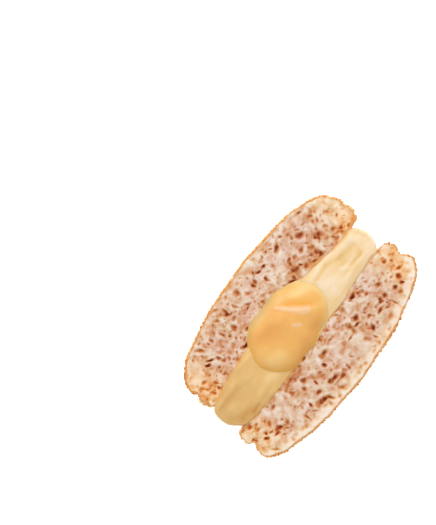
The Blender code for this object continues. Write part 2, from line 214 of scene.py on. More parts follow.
# %% Attributes, places and the hand-over of a piece
def mark(piece, name, values):
    """Keeps one number for each point, for the material to read."""
    layer = piece.data.attributes.new(name, "FLOAT", "POINT")
    layer.data.foreach_set("value", np.asarray(values, dtype=np.float32).ravel())


def places_of(piece):
    """x, h and depth of each point of a piece, in millimetres."""
    flat = np.empty(len(piece.data.vertices) * 3)
    piece.data.vertices.foreach_get("co", flat)
    world = flat.reshape(-1, 3) / MM
    return world[:, 0] - AXIS[0], world[:, 1] - AXIS[1], CUT - world[:, 2]


def finished(piece, node, material, smooth=True):
    """Rides on the object's one body, stands for a node where one is named, and takes its finish."""
    piece.data.materials.append(material)
    if smooth:
        piece.data.shade_smooth()
    else:
        piece.data.shade_flat()
    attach(piece, "root")
    if node:
        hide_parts(*node)


# %% [markdown]
# ## The palette
#
# A camera writes colours on a curved scale from 0 to 255, and a shader wants light, which is linear.
# One helper turns one into the other, so that the palette can be written as it is seen.

# %% Colours and the helpers for materials
def seen(red, green, blue):
    """The linear colour of an sRGB one: each channel raised to about the power 2.2."""
    share = np.array([red, green, blue]) / 255.0
    linear = np.where(share <= 0.04045, share / 12.92, ((share + 0.055) / 1.055) ** 2.4)
    return (*linear.tolist(), 1.0)


def new_finish(name, roughness, **sockets):
    """A material whose plain values are set on the shader's own sockets."""
    material = bpy.data.materials.new(name)
    material.use_nodes = True
    tree = material.node_tree
    shader = tree.nodes["Principled BSDF"]
    shader.inputs["Roughness"].default_value = roughness
    for socket, value in sockets.items():
        shader.inputs[socket.replace("_", " ")].default_value = value
    return material, tree, shader


def add(tree, kind, links=(), **settings):
    """A node with its settings and its incoming links, given as (input name or number, output)."""
    made = tree.nodes.new(kind)
    for name, value in settings.items():
        if hasattr(made, name):
            setattr(made, name, value)
        else:
            made.inputs[name.replace("_", " ").title()].default_value = value
    for socket, output in links:
        tree.links.new(output, made.inputs[socket])
    return made


def object_place(tree, stretch=(1.0, 1.0, 1.0)):
    """Object coordinates, in units of a millimetre, stretched where a pattern is longer one way."""
    place = add(tree, "ShaderNodeTexCoord").outputs["Object"]
    scaled = add(tree, "ShaderNodeMapping", [("Vector", place)])
    scaled.inputs["Scale"].default_value = [s / MM for s in stretch]
    return scaled.outputs["Vector"]


# %% Patterns, ramps, tints and relief
def speckle(tree, place, size, detail=3.0):
    """Noise with spots of about this size in millimetres, from 0 to 1."""
    made = add(tree, "ShaderNodeTexNoise", [("Vector", place)], Scale=1.0 / size, Detail=detail)
    return made.outputs[0]


def steps(tree, value, stops):
    """A colour ramp through stops: a place from 0 to 1, and the red, green and blue that are seen there."""
    ramp = add(tree, "ShaderNodeValToRGB", [("Fac", value)])
    band = ramp.color_ramp
    while len(band.elements) < len(stops):
        band.elements.new(0.5)
    for element, (place, *colour) in zip(band.elements, stops):
        element.position = place
        element.color = seen(*colour)
    return ramp.outputs["Color"]


def mixed(tree, share, first, second, how="MIX"):
    """Two colours blended by a share, each a colour or another node's output."""
    made = add(tree, "ShaderNodeMix", data_type="RGBA", blend_type=how)
    for socket, value in ((0, share), (6, first), (7, second)):
        if isinstance(value, bpy.types.NodeSocket):
            tree.links.new(value, made.inputs[socket])
        else:
            made.inputs[socket].default_value = value
    return made.outputs[2]


def ranged(tree, value, low, high, to_low=0.0, to_high=1.0):
    """A value eased from one range to another."""
    made = add(tree, "ShaderNodeMapRange", [("Value", value)], interpolation_type="SMOOTHSTEP")
    for socket, number in zip(("From Min", "From Max", "To Min", "To Max"), (low, high, to_low, to_high)):
        made.inputs[socket].default_value = number
    return made.outputs[0]


def attribute(tree, name):
    """One number for each point, kept on the mesh."""
    return add(tree, "ShaderNodeAttribute", attribute_name=name).outputs["Fac"]


def glazed(tree, colour, name, strength, tint):
    """A colour with a tint over it, as strongly as the attribute of this name says, times a strength."""
    return mixed(tree, ranged(tree, attribute(tree, name), 0.0, 1.0, 0.0, strength), colour, seen(*tint))


def bumped(tree, shader, height, distance, strength):
    """Gives the shader a fine relief from a height; distance is how deep it is, in millimetres."""
    made = add(tree, "ShaderNodeBump", [("Height", height)])
    made.inputs["Distance"].default_value = distance * MM
    made.inputs["Strength"].default_value = strength
    tree.links.new(made.outputs["Normal"], shader.inputs["Normal"])


# %% [markdown]
# ## The shape of a shell
#
# A meringue shell is piped as a round, and spins itself a dome while it bakes. Under the dome it pulls in
# to a waist, and below that stands the foot, a frill of burst bubbles. Its inner face is a shallow dish.
# So it is a turned shape: one profile carried half way round the axis, made uneven by sines and noise.

# %% The profile of a shell
def face_height(r, shell):
    """Height of the dished inner face: highest on the axis, lower by the 1.6th power of the radius."""
    share = np.minimum(np.asarray(r, dtype=float) / (RADIUS - 2.0), 1.0)
    return shell["dish"] + (shell["foot"] - shell["dish"]) * share**1.6


def through(points, steps_each):
    """A smooth line through points: on each stretch, the cubic whose slopes are those of its neighbours."""
    p = np.asarray(points, dtype=float)
    p = np.concatenate([2 * p[:1] - p[1:2], p, 2 * p[-1:] - p[-2:-1]])
    t = np.linspace(0.0, 1.0, steps_each, endpoint=False)[None, :, None]
    a, b, c, d = (p[n : len(p) - 3 + n, None, :] for n in range(4))
    line = b + 0.5 * t * (c - a + t * (2 * a - 5 * b + 4 * c - d + t * (3 * (b - c) + d - a)))
    return np.concatenate([line.reshape(-1, 2), p[-2:-1]])


WAIST = 0.9
WAIST_DROP = 2.2
FOOT_SETBACK = 0.35
DISH_SETBACK = 1.7
DOME_STEPS = 110
SIDE_STEPS = 7
DISH_STEPS = 40


def shell_profile(shell):
    """Radius and height from the top of the dome, over the waist and the foot, to the middle of the dish.
    Also the numbers of the points where the side and the dish begin."""
    turn = np.linspace(math.pi / 2, 0.0, DOME_STEPS)
    dome = np.stack([RADIUS * np.cos(turn), shell["equator"] + shell["rise"] * np.sin(turn)], axis=1)
    low, waist = shell["foot"], shell["equator"] - WAIST_DROP
    middle = (low + waist) / 2
    side = through(
        [
            (RADIUS, shell["equator"]),
            (RADIUS - 0.3, shell["equator"] - 1.2),
            (RADIUS - WAIST, waist),
            (RADIUS - FOOT_SETBACK, middle + 0.9),
            (RADIUS - FOOT_SETBACK + 0.1, middle - 0.3),
            (RADIUS - FOOT_SETBACK - 0.4, low + 0.45),
            (RADIUS - DISH_SETBACK, low),
        ],
        SIDE_STEPS,
    )
    r = np.linspace(RADIUS - DISH_SETBACK, 0.0, DISH_STEPS)[1:]
    dish = np.stack([r, face_height(r, shell)], axis=1)
    profile = np.concatenate([dome, side[1:], dish])
    profile[0, 0] = profile[-1, 0] = 0.0
    return profile, DOME_STEPS - 1, DOME_STEPS + len(side) - 2


for shell in (UPPER, LOWER):
    print("profile points:", len(shell_profile(shell)[0]))

# %% [markdown]
# ## Making the turned shape uneven
#
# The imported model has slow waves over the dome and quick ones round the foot. They are repeated here, so
# that the fine surface stays on the solid, and smaller noise goes on top: the baked skin and the bubbles.

# %% Turning a profile half way round
SLOW = [(3, 1.0, 0.0), (5, 0.7, 1.3), (8, 0.5, 0.4)]
QUICK = [(13, 1.0, 0.0), (19, 0.8, 2.1), (9, 0.6, 1.0)]
SKIN_RELIEF = 0.09
FOOT_RELIEF = 0.3
END_DROP = 0.45
CUT_WAVER = 0.1
CUT_SUNK = 0.1
DISH_SUNK = 0.8
TURN_STEPS = 200


def cut_drop(x, h):
    """How far the cut sinks below its plane: a knife drags a little, and the brittle ends crumble away."""
    return END_DROP * ease(19.5, 24.0, np.abs(x)) + CUT_WAVER * noise(x, h, 0.0, 7.0, 41) + CUT_SUNK


def near(turn):
    """1 at an end of the cut and less away from it: the bell curve of the turn over 0.3 radians."""
    return np.exp(-((turn / 0.3) ** 2))


def at_ends(rows, height, turn):
    """How far the surface stands out at the right and the left end of the cut, read from rows by height."""
    level, right, left = np.array(rows).T
    at_right = np.interp(height, level, right) * near(turn)
    return at_right + np.interp(height, level, left) * near(math.pi - turn)


def shell_points(shell, r, height, turn):
    """x, h and depth on a shell: the radius swells by waves and noise round the rim and the foot, and the
    dome carries low bumps and leans a little. Depth is the radius times the sine of the turn."""
    x, y = r * np.cos(turn), r * np.sin(turn)
    phase, seed = shell["phase"], shell["seed"]
    rim = np.clip((r - 0.55 * RADIUS) / (0.45 * RADIUS), 0.0, 1.0)
    foot = np.exp(-(((height - (shell["foot"] + 1.9)) / 1.7) ** 2)) * rim
    swell = 0.16 * waves(turn, SLOW, phase) * rim + 0.25 * waves(turn, QUICK, phase) * foot
    bubbles = rough(x, y, height, 1.5, seed) * foot * FOOT_RELIEF
    dome = np.clip((height - shell["equator"]) / shell["rise"], 0.0, 1.0)
    skin = SKIN_RELIEF * rough(x, y, height, 1.1, seed + 20)
    ends = at_ends(shell["ends"], height, turn)
    ends = ends + 0.14 * rough(x, y, height, 1.3, seed + 40, 2) * (near(turn) + near(math.pi - turn))
    stretch = 1.0 + (swell + bubbles + (skin + ends) * rim) / np.maximum(r, 1.0)
    bumps = 0.12 * np.sin(0.55 * x + phase) * np.sin(0.48 * y + 0.8) * dome + skin * dome
    h = shell["side"] * (height + bumps) + shell["side"] * shell["lean"] * x * dome
    x, depth = x * stretch + shell["offset"], y * stretch
    under_filling = DISH_SUNK * ease(RADIUS - 2.0, RADIUS - 3.6, r) * (height < shell["equator"])
    return x, h, depth + cut_drop(x, h) * np.exp(-depth / 2.0) + under_filling * np.exp(-depth)


def half_turn(profile, points_at):
    """The grid of a profile carried half way round: rows along the profile, columns round the axis.
    The columns are closer together near the cut."""
    turn = np.linspace(0.0, 1.0, TURN_STEPS + 1)
    turn = math.pi * (turn - 0.06 * np.sin(4 * math.pi * turn) / 2)
    return placed(*points_at(profile[:, :1], profile[:, 1:], turn[None, :]))


def rim_of(grid):
    """The closed line where a half turn meets the cut: down its first column and back up its last."""
    return np.concatenate([grid[:, 0], grid[-2:0:-1, -1]])


def inset(line, distance, sink):
    """A closed line moved inwards across its own direction, and down."""
    along = np.roll(line, -1, axis=0) - np.roll(line, 1, axis=0)
    along = along[:, :2] / np.maximum(np.hypot(*along[:, :2].T)[:, None], 1e-9)
    area = np.sum(line[:, 0] * np.roll(line[:, 1], -1) - line[:, 1] * np.roll(line[:, 0], -1))
    inward = np.stack([-along[:, 1], along[:, 0]], axis=1) * np.sign(area)
    moved = line.copy()
    moved[:, :2] += inward * distance
    moved[:, 2] -= sink
    return moved


# %% [markdown]
# ## The crust
#
# Under the toasted crumbs a shell has a thin, pale skin, drier and smoother than the sponge inside.
# The crust piece is a half turn closed by a tray: a narrow lip at the cut, then a step down, so that the
# sponge can sit in it and the lip shows as the thin toasted line round the cut face.

# %% Two crust bodies
LIP = 0.38
TRAY_DEPTH = 1.7
BEAD = 0.12
BEAD_RISE = 0.04


def make_crust(name, shell):
    """The skin of one shell, with a lip round the cut and a tray for the sponge. The tray's rings are the
    rim, a low bead on it, the inner edge of the lip, and the foot of the step."""
    profile, _, _ = shell_profile(shell)
    grid = half_turn(profile, lambda r, h, turn: shell_points(shell, r, h, turn))
    rim = rim_of(grid)
    bead = inset(rim, BEAD, -BEAD_RISE)
    tray = np.stack([rim, bead, inset(rim, LIP, 0.03), inset(rim, LIP + 0.05, TRAY_DEPTH)])
    count = len(rim)
    start = grid.size // 3
    floor = [start + 3 * count + n for n in range(count)]
    blocks = [(grid, grid_faces(*grid.shape[:2])), (tray, grid_faces(len(tray), count, around=True))]
    piece = stitched(name, blocks, [floor])
    mark(piece, "lip", ease(0.8, 0.2, places_of(piece)[2]))
    return piece


upper_crust = make_crust("upper_crust", UPPER)
lower_crust = make_crust("lower_crust", LOWER)

# %% [markdown]
# ## The sponge of the cut face
#
# Cut meringue is a foam of almond and egg white. Its holes are up to two millimetres long, crowded near the
# filling and fewer near the dome. A picture of holes would look flat from the side, so the holes are real
# relief: the face is a fine grid, and each point sinks as deep as the hole it is in.
# The holes come from tiles with one random ellipse each, which needs no list and no loop over holes.
# The largest ones, which the eye would miss, are placed one by one where the imported model has them too,
# and so are the broad stains, where the foam is darker or paler than elsewhere.

# %% Where the large holes and the stains lie
# Each large hole: x and h of its middle, length, width, turn in degrees, and how dark and deep it is.
HOLES = {
    1: [
        (-15.3, 11.8, 1.6, 0.6, -50, 0.65), (-16.6, 8.8, 0.9, 0.45, -50, 1.0),
        (-15.6, 9.1, 1.3, 0.45, -45, 0.9), (-14.5, 8.2, 0.9, 0.45, -50, 0.9),
        (-14.4, 7.4, 1.0, 0.45, -75, 0.5), (-19.8, 7.5, 0.8, 0.5, 0, 0.6), (-20.3, 6.2, 1.1, 0.45, -50, 0.5),
        (-18.3, 5.8, 0.8, 0.5, -50, 0.55), (-18.7, 4.8, 0.7, 0.5, 60, 0.8), (-15.9, 5.5, 0.8, 0.4, -15, 0.5),
        (-12.4, 11.4, 0.9, 0.45, 80, 0.5), (-11.3, 6.1, 0.7, 0.4, 70, 0.5),
        (-10.3, 10.2, 1.3, 0.45, -75, 0.5), (-8.7, 12.8, 1.1, 0.5, -50, 0.5),
        (-7.9, 10.7, 0.8, 0.4, 0, 0.35), (-6.4, 12.4, 1.5, 0.4, 85, 0.5), (-3.2, 9.6, 0.9, 0.4, -10, 0.65),
        (-9.2, 5.4, 1.2, 0.65, -10, 1.0), (-8.4, 6.3, 1.2, 0.4, 20, 0.4), (-6.4, 7.2, 0.6, 0.4, 0, 0.5),
        (-0.3, 7.9, 0.8, 0.4, 10, 0.45), (1.7, 11.8, 1.1, 0.5, 50, 0.75), (3.6, 12.2, 0.9, 0.45, -15, 0.9),
        (4.9, 12.0, 0.9, 0.45, -10, 0.9), (3.5, 10.2, 0.8, 0.55, 90, 0.8), (3.6, 9.5, 0.9, 0.4, -40, 0.45),
        (6.2, 13.2, 0.9, 0.5, 50, 0.6), (9.35, 12.3, 1.4, 0.7, 55, 1.0), (11.6, 13.1, 0.8, 0.45, 0, 0.75),
        (10.5, 13.2, 1.2, 0.35, 0, 0.4), (8.6, 8.3, 1.0, 0.5, 65, 0.6), (8.3, 6.9, 2.4, 0.6, -12, 0.6),
        (9.8, 6.6, 0.9, 0.4, -40, 0.8), (6.0, 5.9, 1.5, 0.6, -30, 1.0), (12.1, 4.7, 1.0, 0.45, -10, 0.85),
        (13.6, 4.5, 1.1, 0.4, -20, 0.85), (12.4, 5.9, 0.7, 0.5, 0, 0.5), (15.6, 7.4, 0.7, 0.5, 0, 0.8),
        (16.1, 6.8, 0.9, 0.45, -70, 0.5), (16.1, 11.1, 0.8, 0.45, -10, 0.4),
        (14.7, 11.1, 0.9, 0.4, -80, 0.45), (19.2, 5.9, 1.3, 0.8, 20, 0.65), (20.2, 4.6, 0.8, 0.55, 60, 0.5),
        (19.6, 3.9, 0.8, 0.4, -50, 0.5), (18.6, 9.4, 0.9, 0.45, 60, 0.45), (20.8, 8.9, 0.7, 0.4, -60, 0.4),
        (21.6, 6.8, 0.6, 0.4, 30, 0.5), (18.9, 11.3, 0.8, 0.4, -20, 0.45), (18.0, 4.1, 1.0, 0.5, 0, 0.4),
        (9.5, 14.3, 5.0, 0.22, -3, 0.25), (17.4, 12.9, 3.2, 0.3, -15, 0.35),
    ],
    -1: [
        (-20.3, -5.2, 0.9, 0.4, -20, 0.5), (-20.9, -4.5, 1.8, 0.3, -15, 0.4),
        (-21.2, -8.5, 0.9, 0.55, -40, 0.7), (-20.3, -8.0, 0.6, 0.5, 0, 0.65),
        (-17.8, -9.3, 1.2, 0.6, -15, 0.85), (-19.2, -9.8, 0.9, 0.5, 0, 0.85),
        (-16.1, -9.9, 1.5, 0.75, 20, 0.5), (-21.6, -11.3, 1.3, 0.45, -50, 0.55),
        (-9.0, -5.4, 1.8, 0.55, -5, 0.55), (-4.3, -4.9, 1.0, 0.5, 10, 0.7), (-1.1, -7.45, 1.5, 0.7, 0, 0.75),
        (-6.6, -9.7, 1.0, 0.45, 85, 0.8), (-10.5, -11.4, 0.9, 0.6, 90, 0.8),
        (-13.0, -12.6, 1.8, 0.4, 90, 0.45), (-11.7, -11.9, 0.9, 0.4, 90, 0.35),
        (-7.9, -13.0, 1.5, 0.7, -15, 0.75), (-7.0, -13.7, 1.4, 0.55, -75, 0.7),
        (-3.6, -11.9, 1.7, 0.7, 0, 1.0), (-4.6, -11.5, 0.9, 0.6, 0, 0.7),
        (-1.3, -12.4, 1.2, 0.45, -75, 0.45), (-0.3, -12.6, 1.1, 0.45, 80, 0.45),
        (-18.0, -12.7, 1.0, 0.4, 90, 0.4), (0.4, -4.7, 1.3, 0.45, 5, 0.55), (2.4, -5.0, 1.0, 0.45, -70, 0.5),
        (6.2, -4.9, 0.7, 0.4, -20, 0.5), (10.9, -5.2, 1.3, 0.6, 10, 1.0), (1.7, -7.0, 1.2, 0.5, 0, 0.6),
        (4.2, -6.7, 1.7, 0.35, -25, 0.35), (7.9, -8.0, 1.15, 0.95, 10, 1.0), (7.3, -9.25, 1.0, 0.45, 0, 0.8),
        (5.7, -9.4, 1.1, 0.75, 60, 0.6), (4.4, -9.8, 1.3, 0.4, -5, 0.6), (10.5, -8.6, 0.9, 0.5, -10, 0.55),
        (13.3, -10.1, 1.3, 0.55, -10, 0.75), (12.1, -11.1, 1.3, 0.55, 15, 0.8),
        (10.3, -10.3, 1.3, 0.35, -50, 0.4), (9.8, -12.2, 0.9, 0.6, 90, 0.55),
        (7.4, -13.4, 0.8, 0.45, 90, 0.5), (8.0, -11.6, 2.0, 0.5, -75, 0.35),
        (14.95, -12.6, 1.9, 0.4, -80, 0.55), (17.6, -10.6, 0.9, 0.65, 0, 0.75),
        (19.0, -11.1, 0.8, 0.45, -45, 0.7), (20.8, -9.0, 1.2, 0.55, -20, 0.6),
        (18.4, -8.9, 0.9, 0.45, -10, 0.5), (15.8, -7.5, 1.1, 0.65, -30, 0.55),
        (16.9, -7.3, 0.8, 0.4, 0, 0.55), (13.1, -7.0, 0.8, 0.45, 0, 0.45), (5.3, -14.9, 0.9, 0.4, 0, 0.45),
        (10.5, -14.7, 0.7, 0.5, 0, 0.45), (1.6, -12.1, 0.7, 0.45, -40, 0.45),
    ],
}

# Stains and pale drifts in the foam: start x and h, end x and h, width, and how much darker or paler.
STAINS = {
    1: [
        (-17.5, 11.8, -13.5, 11.5, 1.2, 0.1), (-17.0, 8.8, -14.0, 8.3, 0.9, 0.12),
        (-10.0, 10.0, -8.8, 9.8, 1.2, 0.12), (-9.0, 13.0, -8.0, 12.8, 0.9, 0.07),
        (-21.4, 6.6, -19.0, 4.5, 1.3, 0.18), (-16.0, 5.0, -10.0, 5.6, 0.9, 0.15),
        (-9.3, 5.6, -8.4, 5.8, 1.2, 0.3), (-6.5, 7.6, -5.0, 8.0, 0.8, 0.1), (0.0, 8.2, 2.0, 7.9, 0.9, 0.12),
        (2.5, 12.2, 6.0, 12.8, 0.9, 0.16), (9.3, 12.4, 10.2, 12.6, 0.9, 0.16),
        (5.5, 6.2, 9.0, 7.2, 1.3, 0.22), (12.2, 5.3, 14.0, 4.8, 1.2, 0.25),
        (14.8, 11.2, 15.5, 11.0, 0.9, 0.08), (16.3, 7.8, 19.8, 4.2, 1.1, 0.2),
        (20.2, 4.0, 20.8, 4.2, 1.0, 0.15), (-2.5, 11.5, -1.5, 10.5, 1.0, -0.12),
        (8.5, 10.4, 13.5, 9.6, 1.1, -0.12), (-12.5, 7.6, -11.5, 8.6, 1.1, -0.1),
        (-7.5, 8.8, -6.0, 9.6, 0.9, -0.08), (16.0, 5.6, 17.5, 5.0, 0.7, -0.08),
        (22.5, 11.0, 23.0, 6.0, 1.3, -0.14), (-21.7, 8.3, -21.0, 10.3, 1.1, -0.06),
    ],
    -1: [
        (-9.8, -4.9, -7.6, -5.3, 1.1, 0.28), (-14.0, -4.7, -10.5, -5.1, 0.7, 0.15),
        (-4.2, -4.9, -3.8, -4.8, 0.9, 0.15), (0.0, -4.8, 1.0, -4.6, 0.9, 0.08),
        (-1.2, -7.2, -0.8, -7.0, 0.7, 0.1), (-9.8, -8.9, -6.3, -9.8, 1.0, 0.13),
        (-10.6, -11.7, -10.2, -12.1, 0.9, 0.12), (-7.8, -12.6, -6.8, -13.3, 1.2, 0.25),
        (-4.2, -11.8, -2.8, -11.9, 1.1, 0.2), (-2.2, -12.5, -0.5, -12.6, 0.7, 0.08),
        (-18.5, -9.0, -15.8, -10.0, 0.9, 0.12), (-21.0, -8.2, -20.6, -8.4, 0.8, 0.12),
        (4.3, -9.8, 6.3, -9.5, 0.9, 0.12), (7.7, -8.1, 8.0, -8.3, 0.8, 0.12),
        (8.0, -11.5, 8.6, -13.0, 0.9, 0.1), (11.1, -5.0, 11.7, -4.9, 0.9, 0.2),
        (10.5, -11.3, 14.0, -9.9, 0.9, 0.14), (14.2, -12.0, 16.3, -13.0, 1.1, 0.13),
        (16.0, -7.0, 17.2, -7.2, 1.0, 0.14), (17.5, -10.4, 19.8, -11.8, 0.9, 0.14),
        (20.0, -5.5, 21.2, -5.6, 0.8, 0.08), (20.2, -8.8, 20.8, -9.0, 0.8, 0.1),
        (-19.0, -5.4, -13.5, -8.0, 1.2, -0.16), (-4.5, -6.6, 1.0, -9.5, 1.2, -0.12),
        (-3.0, -14.5, 4.5, -13.6, 1.2, -0.12), (9.0, -6.0, 12.5, -8.5, 1.1, -0.12),
        (14.0, -4.3, 19.0, -4.3, 0.7, -0.25), (-21.6, -4.6, -20.2, -4.7, 0.5, -0.15),
        (3.0, -10.8, 7.0, -11.8, 1.0, -0.06), (22.2, -8.2, 22.8, -9.8, 0.8, -0.14),
        (-22.6, -9.5, -21.4, -6.6, 1.2, 0.14),
    ],
}
large, broad = (sum(len(rows) for rows in table.values()) for table in (HOLES, STAINS))
print("large holes:", large, "stains:", broad)


# %% Holes by rule and holes one by one
# A listed hole is made this much of its length each way, so that its soft edge looks its size.
HAND_HALF = 0.74
BOWL_WIDTH = 0.74
WALL_PLACE = 1.45
WALL_WIDTH = 0.3


def ellipse_distance(x, h, centre_x, centre_h, half, slim, turn):
    """How far from an ellipse's centre, over the ellipse's radius that way: 1 on its edge."""
    dx, dh = x - centre_x, h - centre_h
    along = (dx * np.cos(turn) + dh * np.sin(turn)) / half
    across = (dh * np.cos(turn) - dx * np.sin(turn)) / (half * slim)
    return np.hypot(along, across)


def bowl_and_wall(distance):
    """A soft bowl, like a bell curve of the distance but with the power 2.5, so flatter in its middle, and
    the paler wall that stands just outside it, a narrow bell curve."""
    wall = np.exp(-(((distance - WALL_PLACE) / WALL_WIDTH) ** 2))
    return np.exp(-((distance / BOWL_WIDTH) ** 2.5)), wall


def beside(x, h, stroke):
    """1 on a stroke and less beside it: the bell curve of the distance from a line over its width."""
    x0, h0, x1, h1, width = stroke[:5]
    run = np.array([x1 - x0, h1 - h0])
    share = np.clip(((x - x0) * run[0] + (h - h0) * run[1]) / (run @ run), 0.0, 1.0)
    away = np.hypot(x - x0 - share * run[0], h - h0 - share * run[1])
    return np.exp(-((away / width) ** 2))


def summed(x, h, strokes, column):
    """All strokes together, each by the number that it has in this column."""
    return sum(stroke[column] * beside(x, h, stroke) for stroke in strokes)


def tiled_holes(x, h, tile, chance, longest, seed):
    """One random ellipse to each square tile that a chance allows. Nine tiles are looked at, and the darkest
    bowl and the palest wall win."""
    column, row = np.floor(x / tile), np.floor(h / tile)
    dark, pale = np.zeros(x.shape), np.zeros(x.shape)
    for step in range(9):
        i, j = column + step % 3 - 1, row + step // 3 - 1
        draw = [scramble(i, j, 0.0, seed + n) for n in range(7)]
        centre_x, centre_h = (i + draw[0]) * tile, (j + draw[1]) * tile
        half = 0.5 * longest * (0.45 + 0.55 * draw[3])
        slim = 0.5 + 0.45 * draw[4]
        bowl, wall = bowl_and_wall(ellipse_distance(x, h, centre_x, centre_h, half, slim, math.pi * draw[2]))
        force = (0.45 + 0.55 * draw[6]) * (draw[5] < chance)
        dark, pale = np.maximum(dark, bowl * force), np.maximum(pale, wall * force)
    return dark, pale


def sponge_holes(x, h, shell, v, stain):
    """How dark and deep the foam is at each place, from 0 to 1, and how much of a hole's pale wall is there.
    The places are first pushed about by noise, which turns plain ellipses into ragged holes. v is 0 at the
    filling and 1 at the dome, where the holes thin out, and a stain crowds them. Each layer is a share, and
    holes by tile, chance and greatest length."""
    side, seed = shell["side"], shell["seed"] * 100
    push_x = 0.2 * rough(x, h, 0.0, 1.0, seed + 1, 2) + 0.15 * noise(x, h, 0.0, 2.6, seed + 5)
    push_h = 0.2 * rough(x, h, 9.0, 1.0, seed + 2, 2) + 0.15 * noise(x, h, 9.0, 2.6, seed + 6)
    px, ph = x + push_x, h + push_h
    crowd = 0.72 - (0.25 + 0.15 * shell["pale_rim"]) * v + 3.2 * stain
    crowd = np.clip(crowd + 0.35 * noise(x, h, 6.0, 1.9, seed + 4), 0.05, 1.0)
    layers = [
        (0.8, tiled_holes(px, ph, 2.3, 0.65 * crowd, 2.0, seed + 10)),
        (0.5, tiled_holes(px * 0.85, ph * 1.1, 1.35, 0.85 * crowd, 1.35, seed + 20)),
        (0.38, tiled_holes(ph + 3.0, px * 0.9, 1.05, 0.85 * crowd, 1.0, seed + 40)),
    ]
    dark = np.max([share * bowl for share, (bowl, _) in layers], axis=0)
    pale = np.max([share * wall for share, (_, wall) in layers], axis=0)
    for cx, ch, length, width, turn, force in HOLES[side]:
        away = ellipse_distance(px, ph, cx, ch, HAND_HALF * length, width / length, math.radians(turn))
        bowl, wall = bowl_and_wall(away)
        dark, pale = np.maximum(dark, bowl * force), np.maximum(pale, wall * force)
    return dark, pale


# %% [markdown]
# ## Laying a grid over the cut face
#
# The cut face has four sides: the filling below, the dome above, and an end with its foot and waist at each
# side. A grid can be stretched between four curves by adding the blend from left to right to the blend from
# bottom to top, and taking away the blend of the four corners, which would otherwise count twice.

# %% A grid between four curves
def resampled(line, count):
    """A line read again at equal steps of its own length."""
    length = np.concatenate([[0.0], np.cumsum(np.linalg.norm(np.diff(line, axis=0), axis=1))])
    where = np.linspace(0.0, length[-1], count)
    return np.stack([np.interp(where, length, line[:, n]) for n in range(line.shape[1])], axis=1)


def stretched_grid(bottom, top, left, right):
    """Points between four curves that meet at the corners, rows from bottom to top."""
    u = np.linspace(0.0, 1.0, len(bottom))[None, :, None]
    v = np.linspace(0.0, 1.0, len(left))[:, None, None]
    up = (1 - v) * bottom[None] + v * top[None]
    over = (1 - u) * left[:, None] + u * right[:, None]
    corners = (1 - v) * ((1 - u) * bottom[0] + u * bottom[-1]) + v * ((1 - u) * top[0] + u * top[-1])
    return up + over - corners


def four_sides(rim, first, second, size):
    """Splits a rim, which starts at the top of the axis, into dome, right side, dish and left side."""
    half = size - 1
    right, left = rim[:size], np.concatenate([rim[:1], rim[: half - 1 : -1]])
    dome = np.concatenate([left[first::-1], right[1 : first + 1]])
    dish = np.concatenate([left[second:], right[second : size - 1][::-1]])
    return dome, right[first : second + 1], dish, left[first : second + 1]


# %% [markdown]
# ## Foam on the grid
#
# The sponge is a slab with that grid for its top. Every point of the grid sinks by the depth of the hole it
# is in, and keeps how dark it is: the bottom of a hole is browner than its rim, and partly painted shade
# too.
# The same numbers carry the rest: golden towards the ends, coloured by the filling beside it, and pale under
# the dome.

# %% A slab and the flat grid over a cut face
FACE_COLUMNS = 620
FACE_ROWS = 132
FACE_LENGTH = 46.0
FACE_INSET = 0.17
SLAB = 1.95
HOLE_DEPTH = 0.6


def slab(name, top, floor_depth):
    """A closed piece from a grid: the grid itself, walls down from its edge, and a flat underside.
    The grid's points come first and keep their order."""
    rows, columns = top.shape[:2]
    ids = np.arange(rows * columns).reshape(rows, columns)
    edge = np.concatenate([ids[0, :], ids[1:, -1], ids[-1, -2::-1], ids[-2:0:-1, 0]])
    under = rows * columns + np.arange(len(edge))
    walls = np.stack([edge, np.roll(edge, -1), np.roll(under, -1), under], axis=1)
    low = top.reshape(-1, 3)[edge].copy()
    low[:, 2] = CUT - floor_depth
    faces = grid_faces(rows, columns).tolist() + walls.tolist() + [under.tolist()]
    return close_up(new_piece(name, np.concatenate([top.reshape(-1, 3), low]), faces))


def along_cut(x, rows):
    """A value read from rows of x and value, blended in between."""
    return np.interp(x, *np.array(rows, dtype=float).T)


def edge_shift(x, shell):
    """How far outside the dish's edge the line between filling and shell lies, read from its rows."""
    return along_cut(x, shell["edge"])


def face_grid(shell):
    """The flat grid over a shell's cut face: x, h, and the distances in millimetres from the nearer end, the
    dome and the filling. Its edge lies on the crust's lip, and along the filling on the measured line."""
    profile, first, second = shell_profile(shell)
    turn = np.array([[0.0, math.pi]])
    grid = placed(*shell_points(shell, profile[:, :1], profile[:, 1:], turn))
    rim = rim_of(grid)
    inner = inset(rim, FACE_INSET, 0.0)[:, :2] - AXIS
    dome, right, dish, left = four_sides(inner, first, second, len(profile))
    outer = four_sides(rim[:, :2] - AXIS, first, second, len(profile))[2].copy()
    outer[:, 1] += shell["side"] * edge_shift(outer[:, 0], shell)
    from_corner = np.minimum(dish[:, 0] - dish[0, 0], dish[-1, 0] - dish[:, 0])[:, None]
    dish = dish + (outer - dish) * ease(0.0, 2.0, from_corner)
    across = [resampled(line, FACE_COLUMNS) for line in (dish, dome)]
    up = [resampled(line[::-1], FACE_ROWS) for line in (left, right)]
    flat = stretched_grid(*across, *up)
    u = np.linspace(0.0, 1.0, FACE_COLUMNS)[None, :]
    v = np.linspace(0.0, 1.0, FACE_ROWS)[:, None]
    from_end = np.minimum(u, 1 - u) * FACE_LENGTH + 0 * v
    tall = np.linalg.norm(flat[-1] - flat[0], axis=1)[None, :]
    return flat[..., 0], flat[..., 1], from_end, (1 - v) * tall, v * tall


